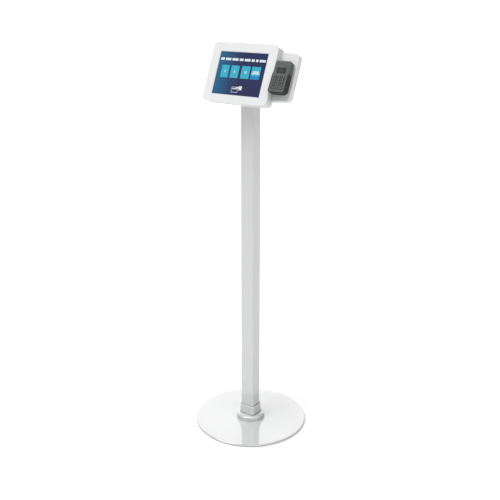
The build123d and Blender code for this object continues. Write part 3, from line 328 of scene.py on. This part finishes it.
# ------------------------------------------------------------------ materials
# the part of a noise's range that is used, and how much detail each noise has
NOISE_LOW = 0.3
NOISE_HIGH = 0.7
NOISE_DETAIL = 3.0
RELIEF_DETAIL = 2.0
MARK_DETAIL = 4.0

# how fine each pattern is, as noise scales
CLOUD = 6.0
SHEEN = 25.0
ORANGE_PEEL = 420.0
PLATING = 40.0
MOTTLE = 60.0
SATIN = 300.0
GLASS_GRAIN = 900.0
TOOL_MARKS = 900.0
GRAIN = 1800.0
FOAM_CELLS = 700.0
FLOOR_CLOUD = 2.0

# darkest and lightest share of a colour that drifts, and the share of the stand's white that the base
# keeps: painted shade that darkens the base's copy of the stand's white to offset the light its upward face
# and glossy coat catch
COAT_DRIFT = (0.975, 1.0)
MOULDED_DRIFT = (0.85, 1.12)
METAL_DRIFT = (0.88, 1.08)
BASE_PAINTED_SHADE = 0.88

# roughness of a clear coat, and of the floor and backdrop
COAT_ROUGHNESS = 0.05
SHEET_ROUGHNESS = 0.9

# strength and depth of each relief, and depth of a moulded grain
PEEL_RELIEF = (0.06, 0.0003)
MARK_RELIEF = (0.12, 0.0001)
GLASS_RELIEF = (0.01, 0.0002)
GRAIN_DEPTH = 0.0002

# colours under and on the lit screen, of the floor, and of white light
UNLIT = (0.004, 0.004, 0.005)
UNLIT_PALER = (0.006, 0.006, 0.007)
SCREEN_WHITE = (0.80, 0.84, 0.88)
FLOOR_PALE = (0.84, 0.84, 0.84)
FLOOR_PALER = (0.86, 0.86, 0.86)
WHITE = (1, 1, 1, 1)


class Finish:
    """A material under construction: a shader, with noise in object coordinates."""

    def __init__(self, name):
        self.material = bpy.data.materials.new(name)
        self.material.use_nodes = True
        self.tree = self.material.node_tree
        self.shader = self.tree.nodes["Principled BSDF"]
        self.place = self.tree.nodes.new("ShaderNodeTexCoord").outputs["Object"]

    def node(self, kind, **values):
        """Adds a node and sets its inputs by name."""
        made = self.tree.nodes.new(kind)
        for key, value in values.items():
            made.inputs[key.replace("_", " ")].default_value = value
        return made

    def set(self, **values):
        """Sets the shader's own sockets."""
        for key, value in values.items():
            self.shader.inputs[key.replace("_", " ")].default_value = value
        return self

    def noise(self, scale, detail=NOISE_DETAIL, stretch=(1, 1, 1)):
        """Noise that sits still on the object."""
        mapping = self.node("ShaderNodeMapping", Scale=stretch)
        self.tree.links.new(self.place, mapping.inputs["Vector"])
        made = self.node("ShaderNodeTexNoise", Scale=scale, Detail=detail)
        self.tree.links.new(mapping.outputs["Vector"], made.inputs["Vector"])
        return made.outputs["Fac"]

    def spread(self, source, low, high):
        """Maps a noise onto a range."""
        made = self.node("ShaderNodeMapRange", From_Min=NOISE_LOW, From_Max=NOISE_HIGH)
        made.inputs["To Min"].default_value = low
        made.inputs["To Max"].default_value = high
        self.tree.links.new(source, made.inputs["Value"])
        return made.outputs["Result"]

    def colour(self, first, second, source):
        """Base colour that drifts between two close colours."""
        mix = self.tree.nodes.new("ShaderNodeMix")
        mix.data_type = "RGBA"
        mix.inputs["A"].default_value = (*first, 1)
        mix.inputs["B"].default_value = (*second, 1)
        self.tree.links.new(source, mix.inputs["Factor"])
        self.tree.links.new(mix.outputs["Result"], self.shader.inputs["Base Color"])
        return self

    def drift(self, colour, low, high, scale):
        """Base colour that drifts between two shades of one colour."""
        cloud = self.spread(self.noise(scale), 0, 1)
        return self.colour(shade(colour, low), shade(colour, high), cloud)

    def rough(self, source, low, high):
        """Roughness that drifts between two levels."""
        self.tree.links.new(self.spread(source, low, high), self.shader.inputs["Roughness"])
        return self

    def bump(self, source, strength, depth):
        """Fine relief."""
        made = self.node("ShaderNodeBump", Strength=strength, Distance=depth)
        self.tree.links.new(source, made.inputs["Height"])
        self.tree.links.new(made.outputs["Normal"], self.shader.inputs["Normal"])
        return self


def shade(colour, factor):
    """A colour made lighter or darker."""
    return tuple(min(1.0, channel * factor) for channel in colour)


def powder_coat(name, colour, low, high, coat, coat_index=1.5):
    """Sprayed and baked paint with a faint orange-peel skin."""
    finish = Finish(name)
    finish.drift(colour, *COAT_DRIFT, CLOUD)
    finish.rough(finish.noise(SHEEN), low, high)
    finish.bump(finish.noise(ORANGE_PEEL, RELIEF_DETAIL), *PEEL_RELIEF)
    finish.set(Coat_Weight=coat, Coat_Roughness=COAT_ROUGHNESS, Coat_IOR=coat_index)
    return finish.material


def moulded(name, colour, low, high, grain=GRAIN, relief=0.35):
    """Moulded plastic or rubber with a spark-eroded grain."""
    finish = Finish(name)
    finish.drift(colour, *MOULDED_DRIFT, MOTTLE)
    finish.rough(finish.noise(SATIN), low, high)
    finish.bump(finish.noise(grain, RELIEF_DETAIL), relief, GRAIN_DEPTH)
    return finish.material


def metal(name, colour, low, high, stretch=(1, 1, 1)):
    """Bare or plated metal with fine tool marks."""
    finish = Finish(name)
    marks = finish.noise(TOOL_MARKS, MARK_DETAIL, stretch)
    finish.drift(colour, *METAL_DRIFT, PLATING)
    finish.rough(marks, low, high)
    finish.bump(marks, *MARK_RELIEF)
    finish.set(Metallic=1.0)
    return finish.material


def lit(name, colour, glow, other=None, span=(0, 1)):
    """A lit patch of the screen, which may drift to a second colour from left to right."""
    finish = Finish(name)
    finish.colour(UNLIT, UNLIT_PALER, finish.spread(finish.noise(MOTTLE), 0, 1))
    finish.rough(finish.noise(SATIN), 0.10, 0.14)
    finish.bump(finish.noise(GLASS_GRAIN, RELIEF_DETAIL), *GLASS_RELIEF)
    finish.set(Emission_Strength=glow)
    if other is None:
        finish.set(Emission_Color=(*colour, 1))
        return finish.material
    split = finish.tree.nodes.new("ShaderNodeSeparateXYZ")
    finish.tree.links.new(finish.place, split.inputs[0])
    fade = finish.node("ShaderNodeMapRange", From_Min=span[0], From_Max=span[1])
    fade.interpolation_type = "SMOOTHSTEP"
    finish.tree.links.new(split.outputs["X"], fade.inputs["Value"])
    mix = finish.tree.nodes.new("ShaderNodeMix")
    mix.data_type = "RGBA"
    mix.inputs["A"].default_value = (*colour, 1)
    mix.inputs["B"].default_value = (*other, 1)
    finish.tree.links.new(fade.outputs["Result"], mix.inputs["Factor"])
    finish.tree.links.new(mix.outputs["Result"], finish.shader.inputs["Emission Color"])
    return finish.material


def make_finishes(settings):
    """Every finish of the kiosk: one for each of the record's slots, and three more."""
    # the base's coat is a darker copy of the stand's white: painted shade for the light that falls on its
    # upward face
    base_shaded_white = shade(settings.stand_white, BASE_PAINTED_SHADE)
    return {
        "white_paint": powder_coat("white_stand_coat", settings.stand_white, 0.16, 0.24, 0.8, 1.8),
        "base_coat": powder_coat("white_base_coat", base_shaded_white, 0.10, 0.16, 1.0, 1.75),
        "white_shell": powder_coat("white_shell_coat", settings.shell_white, 0.34, 0.44, 0.1),
        "foot_rubber": moulded("foot_rubber", (0.03, 0.03, 0.03), 0.7, 0.85),
        "screw_steel": metal("zinc_plate", (0.56, 0.56, 0.57), 0.25, 0.4),
        "black_screw": metal("black_oxide", (0.06, 0.06, 0.065), 0.35, 0.5),
        "lock_chrome": metal("lock_chrome", (0.78, 0.78, 0.79), 0.06, 0.14),
        "tray_steel": metal("tray_sheet", (0.60, 0.61, 0.62), 0.3, 0.45, (1, 12, 1)),
        "foam": moulded("foam_strip", (0.035, 0.035, 0.036), 0.85, 0.95, FOAM_CELLS, 0.8),
        "tablet_metal": metal("tablet_back", (0.60, 0.61, 0.62), 0.35, 0.45),
        "screen_glass": moulded("screen_border", (0.006, 0.007, 0.008), 0.08, 0.12, GLASS_GRAIN, 0.01),
        "reader_plastic": moulded("reader_plastic", settings.reader_grey, 0.38, 0.5),
        "reader_rubber": moulded("reader_rim", settings.rim_black, 0.5, 0.65),
        "cradle_plastic": moulded("cradle_plastic", (0.02, 0.021, 0.022), 0.45, 0.6),
        "display_glass": moulded("display_glass", (0.024, 0.026, 0.025), 0.10, 0.16, GLASS_GRAIN, 0.01),
        "key_grey": moulded("key_grey", settings.key_grey, 0.35, 0.5),
        "key_red": moulded("key_red", (0.036, 0.010, 0.010), 0.4, 0.5),
        "key_yellow": moulded("key_yellow", (0.040, 0.030, 0.010), 0.4, 0.5),
        "key_green": moulded("key_green", (0.008, 0.028, 0.014), 0.4, 0.5),
        "board_green": moulded("board_green", (0.02, 0.12, 0.05), 0.3, 0.4),
        "battery_wrap": moulded("battery_wrap", (0.12, 0.14, 0.17), 0.3, 0.4),
        "grommet_rubber": moulded("grommet_rubber", (0.025, 0.025, 0.025), 0.6, 0.75),
        "display_picture": moulded("display_picture", (0.034, 0.038, 0.037), 0.15, 0.22, GLASS_GRAIN, 0.01),
        "display_bars": moulded("display_bars", (0.085, 0.092, 0.090), 0.15, 0.22, GLASS_GRAIN, 0.01),
        "inlay_green": moulded("inlay_green", (0.018, 0.060, 0.054), 0.12, 0.2, GLASS_GRAIN, 0.02),
        "key_legend": moulded("key_legend", settings.legend_pale, 0.45, 0.55),
    }


FINISHES = {}


# ------------------------------------------------------------------ mesh helpers
def finished(bm, name, slot, body, place, material=None):
    """Turns a bmesh built on a face into a piece at its place, with its finish and its body."""
    bmesh.ops.recalc_face_normals(bm, faces=bm.faces)
    bmesh.ops.transform(bm, matrix=place, verts=bm.verts)
    mesh = bpy.data.meshes.new(name)
    bm.to_mesh(mesh)
    bm.free()
    piece = bpy.data.objects.new(name, mesh)
    bpy.context.scene.collection.objects.link(piece)
    mesh.materials.append(material or FINISHES[slot])
    mesh.shade_smooth()
    mesh.set_sharp_from_angle(angle=SMOOTH_ANGLE)
    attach(piece, body)


def slab(bm, width, height, low, high, corner, steps, middle=(0, 0)):
    """Adds a plate with rounded corners, lying between two heights."""
    size = Matrix.Diagonal((width, height, high - low, 1))
    centre = Matrix.Translation((middle[0], middle[1], (low + high) / 2))
    made = bmesh.ops.create_cube(bm, size=1.0, matrix=centre @ size)["verts"]
    if not corner:
        return
    uprights = [
        e for e in {edge for v in made for edge in v.link_edges}
        if abs(e.verts[0].co.z - e.verts[1].co.z) > (high - low) / 2
    ]
    bmesh.ops.bevel(
        bm, geom=uprights, offset=corner, offset_type="OFFSET", segments=steps,
        profile=0.5, affect="EDGES", material=-1, clamp_overlap=True,
    )


def lettering(bm, text, size, low, high, middle):
    """Adds raised plain digits, centred on a spot."""
    curve = bpy.data.curves.new("digits", "FONT")
    curve.body = text
    curve.size = size
    curve.align_x = "CENTER"
    curve.align_y = "CENTER"
    curve.offset = size * LETTER_WEIGHT
    curve.resolution_u = LETTER_STEPS
    holder = bpy.data.objects.new("digits", curve)
    bpy.context.scene.collection.objects.link(holder)
    bpy.context.view_layer.update()
    flat = bpy.data.meshes.new_from_object(holder)
    bpy.data.objects.remove(holder)
    bpy.data.curves.remove(curve)
    letters = bmesh.new()
    letters.from_mesh(flat)
    bpy.data.meshes.remove(flat)
    bmesh.ops.remove_doubles(letters, verts=letters.verts, dist=WELD)
    raised = bmesh.ops.extrude_face_region(letters, geom=letters.faces[:])["geom"]
    tops = [v for v in raised if isinstance(v, bmesh.types.BMVert)]
    bmesh.ops.translate(letters, verts=tops, vec=(0, 0, high - low))
    bmesh.ops.translate(letters, verts=letters.verts, vec=(middle[0], middle[1], low))
    mesh = bpy.data.meshes.new("digits")
    letters.to_mesh(mesh)
    letters.free()
    bm.from_mesh(mesh)
    bpy.data.meshes.remove(mesh)


def frame_bars(left, top, right, bottom, thick):
    """Four boxes that make an upright frame, in spans of the screen."""
    tall = thick * SCREEN_SHAPE
    return [
        (left, top, right, top + tall),
        (left, bottom - tall, right, bottom),
        (left, top + tall, left + thick, bottom - tall),
        (right - thick, top + tall, right, bottom - tall),
    ]


def rounded_ring(bm, half_x, half_y, corner):
    """Adds a closed outline with round corners, and gives back its edges."""
    made = bmesh.ops.create_grid(bm, x_segments=1, y_segments=1, size=1.0)["verts"]
    bmesh.ops.scale(bm, vec=(half_x, half_y, 1), verts=made)
    bmesh.ops.bevel(
        bm, geom=made, offset=corner, offset_type="OFFSET", segments=SHADE_RING_STEPS,
        profile=0.5, affect="VERTICES", material=-1, clamp_overlap=True,
    )
    bmesh.ops.delete(bm, geom=bm.faces[:], context="FACES_ONLY")
    return bm.edges[:]


def bar(bm, length, width, middle, turn):
    """Adds a thin printed bar, turned on the key."""
    place = Matrix.Translation((*middle, PRINT / 2)) @ Matrix.Rotation(turn, 4, "Z")
    bmesh.ops.create_cube(bm, size=1.0, matrix=place @ Matrix.Diagonal((length, width, PRINT, 1)))


def star_sign(bm):
    """Three crossed bars."""
    for step in range(3):
        bar(bm, STAR_SPAN, THIN_STROKE, (0, 0), step * pi / 3)


def hash_sign(bm):
    """Two upright and two level bars."""
    for side in (-1, 1):
        bar(bm, HASH_SPAN, THIN_STROKE, (side * HASH_OFFSET, 0), pi / 2)
        bar(bm, HASH_SPAN, THIN_STROKE, (0, side * HASH_OFFSET), 0)


def cross_sign(bm):
    """A plain cross."""
    for side in (-1, 1):
        bar(bm, CROSS_SPAN, STROKE, (0, 0), side * pi / 4)


def back_sign(bm):
    """An arrowhead that points back."""
    for side in (-1, 1):
        bar(bm, ARROW_SPAN, STROKE, (0, side * ARROW_OFFSET), side * pi / 4)


def ring_sign(bm):
    """A plain ring."""
    outer = bmesh.ops.create_circle(bm, segments=RING_STEPS, radius=RING_RADIUS)["verts"]
    edges = list({e for v in outer for e in v.link_edges})
    rim = bmesh.ops.extrude_edge_only(bm, edges=edges)["geom"]
    inner = [v for v in rim if isinstance(v, bmesh.types.BMVert)]
    bmesh.ops.scale(bm, vec=(RING_INNER, RING_INNER, 1), verts=inner)
    tops = bmesh.ops.extrude_face_region(bm, geom=bm.faces[:])["geom"]
    raised = [v for v in tops if isinstance(v, bmesh.types.BMVert)]
    bmesh.ops.translate(bm, verts=raised, vec=(0, 0, PRINT))


KEY_SIGNS = {
    "key_star": star_sign,
    "key_hash": hash_sign,
    "key_cancel": cross_sign,
    "key_clear": back_sign,
    "key_enter": ring_sign,
}


# ------------------------------------------------------------------ operators
class KIOSK_OT_finishes(bpy.types.Operator):
    """Makes every finish and gives each carried-over part its own"""

    bl_idname = "kiosk.finishes"
    bl_label = "Finishes"

    def execute(self, context):
        FINISHES.update(make_finishes(context.scene.kiosk_finish))
        for part in frame["record"]["subparts"]:
            node = frame["nodes"][part["node"]]
            node.data.materials.clear()
            slot = "base_coat" if part["node"] in GLOSSY_NODES else part["material_slot"]
            node.data.materials.append(FINISHES[slot])
        return {"FINISHED"}


class KIOSK_OT_screen(bpy.types.Operator):
    """Lights the tablet's screen: background, heading bars, amount buttons and a card sign"""

    bl_idname = "kiosk.screen"
    bl_label = "Lit screen"

    def execute(self, context):
        screen = context.scene.kiosk_screen
        low, high = screen_opening()
        width = high.x - low.x
        height = high.y - low.y

        def spot(across, down):
            return (low.x + across * width, high.y - down * height)

        def patch(name, boxes, level, material, corner):
            bm = bmesh.new()
            for left, top, right, bottom in boxes:
                (x0, y1), (x1, y0) = spot(left, top), spot(right, bottom)
                middle = ((x0 + x1) / 2, (y0 + y1) / 2)
                base = level * LAYER
                slab(bm, x1 - x0, y1 - y0, base, base + LAYER, corner, SCREEN_STEPS, middle)
            finished(bm, name, "screen_glass", "head", HEAD, material)

        span = (low.x - FADE_START * width, low.x + FADE_END * width)
        back = lit("screen_back", screen.teal, screen.glow, screen.deep, span)
        cyan = lit("screen_button", screen.button, screen.glow)
        white = lit("screen_white", SCREEN_WHITE, screen.glow)
        blue = lit("screen_band", screen.band, screen.glow)
        whole = (SCREEN_EDGE, SCREEN_EDGE, 1 - SCREEN_EDGE, 1 - SCREEN_EDGE)
        patch("screen_background", [whole], 0, back, SCREEN_CORNER)

        bars = []
        left = HEADING_LEFT
        for length in HEADING_WORDS:
            bars.append((left, HEADING_TOP, left + length, HEADING_BOTTOM))
            left += length + HEADING_SPACE
        patch("heading_bars", bars, 1, white, SMALL_CORNER)

        buttons = [(start, BUTTON_TOP, end, BUTTON_BOTTOM) for start, end in COLUMNS]
        patch("amount_buttons", buttons, 1, cyan, BUTTON_CORNER)
        start, end = COLUMNS[-1]
        patch("other_amount_band", [(start, BAND_TOP, end, BUTTON_BOTTOM)], 2, blue, SMALL_CORNER)
        bars = [(start + inset, top, end - inset, top + OTHER_BAR_TALL) for top, inset in OTHER_BARS]
        patch("other_amount_bars", bars, 2, white, SMALL_CORNER)

        bm = bmesh.new()
        for (start, end), number in zip(COLUMNS, screen.amounts.split()):
            middle = spot((start + end) / 2, NUMBER_DOWN)
            lettering(bm, number, NUMBER_SIZE, 2 * LAYER, 3 * LAYER, middle)
        finished(bm, "amount_numbers", "screen_glass", "head", HEAD, white)

        patch("card_sign_edges", frame_bars(*CARD_SIGN, CARD_LINE), 1, white, 0)
        patch("card_sign_stripe", [CARD_STRIPE], 1, white, CARD_CORNER)
        patch("hand_sign", [HAND_PALM, HAND_FINGER], 1, white, HAND_CORNER)
        return {"FINISHED"}


class KIOSK_OT_key_legends(bpy.types.Operator):
    """Prints the digits on the keys, and plain signs on the rest"""

    bl_idname = "kiosk.key_legends"
    bl_label = "Key legends"

    def execute(self, context):
        for key in KEYS:
            place = facing(READER_OUT, key)
            bm = bmesh.new()
            if key in DIGIT_KEYS:
                lettering(bm, DIGIT_KEYS[key], DIGIT_SIZE, 0, PRINT, (0, 0))
            else:
                KEY_SIGNS[key](bm)
            finished(bm, f"{key}_legend", "key_legend", key, place)
        return {"FINISHED"}


class KIOSK_OT_reader_display(bpy.types.Operator):
    """Shows plain bars on the card reader's small display"""

    bl_idname = "kiosk.reader_display"
    bl_label = "Reader display"

    def execute(self, context):
        wide = reach("display_window", X_AXIS)
        tall = reach("display_window", READER_OUT.cross(X_AXIS))
        width, height = wide[1] - wide[0], tall[1] - tall[0]
        bm = bmesh.new()
        size = (PICTURE_WIDTH * width, PICTURE_HEIGHT * height)
        slab(bm, *size, 0, PRINT, PICTURE_CORNER, READER_STEPS)
        finished(bm, "display_picture", "display_glass", "head", WINDOW, FINISHES["display_picture"])
        bm = bmesh.new()
        for row, length in enumerate(BAR_LENGTHS):
            middle = ((length - BAR_LEFT) * width / 2, BAR_ROW * (1 - row) * height)
            size = (length * width, BAR_TALL * height)
            slab(bm, *size, PRINT, 2 * PRINT, BAR_CORNER, READER_STEPS, middle)
        finished(bm, "display_bars", "display_glass", "head", WINDOW, FINISHES["display_bars"])
        return {"FINISHED"}


class KIOSK_OT_seals(bpy.types.Operator):
    """Lays dark rings of painted shade where the post enters the sleeve and the sleeve enters the collar"""

    bl_idname = "kiosk.seals"
    bl_label = "Painted shade"

    def execute(self, context):
        for name, inner, lower in (
            ("sleeve_painted_shade", "post", "socket_sleeve"),
            ("collar_painted_shade", "socket_sleeve", "socket_cover"),
        ):
            top = reach(lower, UP)[1]
            half_x, half_y = (top_reach(inner, axis) for axis in (X_AXIS, Y_AXIS))
            bm = bmesh.new()
            ring = rounded_ring(bm, half_x, half_y, SHADE_RING_CORNER)
            outer = bmesh.ops.extrude_edge_only(bm, edges=ring)["geom"]
            verts = [v for v in outer if isinstance(v, bmesh.types.BMVert)]
            spread = Matrix.Diagonal((1 + SHADE_RING_WIDTH / half_x, 1 + SHADE_RING_WIDTH / half_y, 1, 1))
            bmesh.ops.transform(bm, matrix=spread, verts=verts)
            raised = bmesh.ops.extrude_face_region(bm, geom=bm.faces[:])["geom"]
            tops = [v for v in raised if isinstance(v, bmesh.types.BMVert)]
            bmesh.ops.translate(bm, verts=tops, vec=(0, 0, SHADE_RING_HEIGHT))
            # each ring is a dark band in the grommet rubber finish: painted shade for the shadow in the
            # joint
            finished(bm, name, "grommet_rubber", "stand", Matrix.Translation((0, 0, top)))
        return {"FINISHED"}


class KIOSK_OT_stage(bpy.types.Operator):
    """Sets up the camera, the pale floor and the soft light"""

    bl_idname = "kiosk.stage"
    bl_label = "Stage"

    def execute(self, context):
        stage = context.scene.kiosk_stage
        scene = context.scene

        camera_data = bpy.data.cameras.new("camera")
        camera_data.sensor_width = SENSOR_WIDTH
        camera_data.lens = stage.camera_lens
        camera_data.clip_end = VIEW_LIMIT
        camera = bpy.data.objects.new("camera", camera_data)
        camera.location = (
            stage.camera_distance * sin(stage.camera_azimuth),
            -stage.camera_distance * cos(stage.camera_azimuth),
            stage.camera_height,
        )
        turn = stage.camera_azimuth + stage.camera_turn
        camera.rotation_euler = (pi / 2 - stage.camera_pitch, 0, turn)
        scene.collection.objects.link(camera)
        scene.camera = camera

        pale = Finish("floor_pale")
        pale.colour(FLOOR_PALE, FLOOR_PALER, pale.noise(FLOOR_CLOUD))
        pale.set(Roughness=SHEET_ROUGHNESS)
        self.sheet("floor", FLOOR_HALF, Matrix.Identity(4), pale.material)
        lit_wall = Finish("backdrop_lit")
        lit_wall.set(Roughness=SHEET_ROUGHNESS)
        lit_wall.set(Emission_Color=WHITE, Emission_Strength=stage.backdrop_glow)
        away = Matrix.Translation((0, BACKDROP_AWAY, 0))
        behind = Matrix.Rotation(stage.camera_azimuth, 4, "Z") @ away
        self.sheet("backdrop", BACKDROP_HALF, behind @ Matrix.Rotation(pi / 2, 4, "X"), lit_wall.material)

        self.soft_light("overhead", stage.overhead, OVERHEAD_FROM)
        self.soft_light("front", stage.front, FRONT_FROM)
        self.soft_light("right", stage.right, RIGHT_FROM)

        self.surroundings(stage.world_level)
        scene.view_settings.view_transform = "Standard"
        return {"FINISHED"}

    def surroundings(self, level):
        """Plain surroundings that look white and light the kiosk at their own level."""
        world = bpy.data.worlds.new("surroundings")
        world.use_nodes = True
        tree = world.node_tree
        background = tree.nodes["Background"]
        background.inputs["Color"].default_value = WHITE
        seen = tree.nodes.new("ShaderNodeLightPath").outputs["Is Camera Ray"]
        strength = tree.nodes.new("ShaderNodeMapRange")
        strength.inputs["To Min"].default_value = level
        strength.inputs["To Max"].default_value = 1.0
        tree.links.new(seen, strength.inputs["Value"])
        tree.links.new(strength.outputs["Result"], background.inputs["Strength"])
        bpy.context.scene.world = world

    def sheet(self, name, half, place, material):
        """A plain square sheet of the studio."""
        bm = bmesh.new()
        bmesh.ops.create_grid(
            bm, x_segments=SHEET_SQUARES, y_segments=SHEET_SQUARES, size=half, matrix=place,
        )
        mesh = bpy.data.meshes.new(name)
        bm.to_mesh(mesh)
        bm.free()
        mesh.materials.append(material)
        piece = bpy.data.objects.new(name, mesh)
        bpy.context.scene.collection.objects.link(piece)

    def soft_light(self, name, strength, toward):
        """A distant soft light that shines from one side."""
        data = bpy.data.lights.new(name, "SUN")
        data.energy = strength
        data.angle = bpy.context.scene.kiosk_stage.softness
        lamp = bpy.data.objects.new(name, data)
        lamp.location = toward
        lamp.rotation_euler = Vector(toward).to_track_quat("Z", "Y").to_euler()
        bpy.context.scene.collection.objects.link(lamp)


class KIOSK_PT_parts(bpy.types.Panel):
    """Lists the kiosk's operators"""

    bl_idname = "KIOSK_PT_parts"
    bl_label = "Payment Kiosk"
    bl_space_type = "VIEW_3D"
    bl_region_type = "UI"
    bl_category = "Kiosk"

    def draw(self, context):
        for operator in OPERATORS:
            self.layout.operator(operator.bl_idname)


OPERATORS = (
    KIOSK_OT_finishes,
    KIOSK_OT_screen,
    KIOSK_OT_key_legends,
    KIOSK_OT_reader_display,
    KIOSK_OT_seals,
    KIOSK_OT_stage,
)
SETTINGS = {
    "kiosk_finish": KioskFinishSettings,
    "kiosk_screen": KioskScreenSettings,
    "kiosk_stage": KioskStageSettings,
}


def register():
    """Registers the settings, operators and panel."""
    for name, group in SETTINGS.items():
        bpy.utils.register_class(group)
        setattr(bpy.types.Scene, name, bpy.props.PointerProperty(type=group))
    for item in (*OPERATORS, KIOSK_PT_parts):
        bpy.utils.register_class(item)


def unregister():
    """Takes everything back out."""
    for item in (KIOSK_PT_parts, *reversed(OPERATORS)):
        bpy.utils.unregister_class(item)
    for name, group in SETTINGS.items():
        delattr(bpy.types.Scene, name)
        bpy.utils.unregister_class(group)


def main():
    """Builds the whole kiosk."""
    register()
    for operator in OPERATORS:
        group, name = operator.bl_idname.split(".")
        getattr(getattr(bpy.ops, group), name)()


if __name__ == "__main__":
    main()
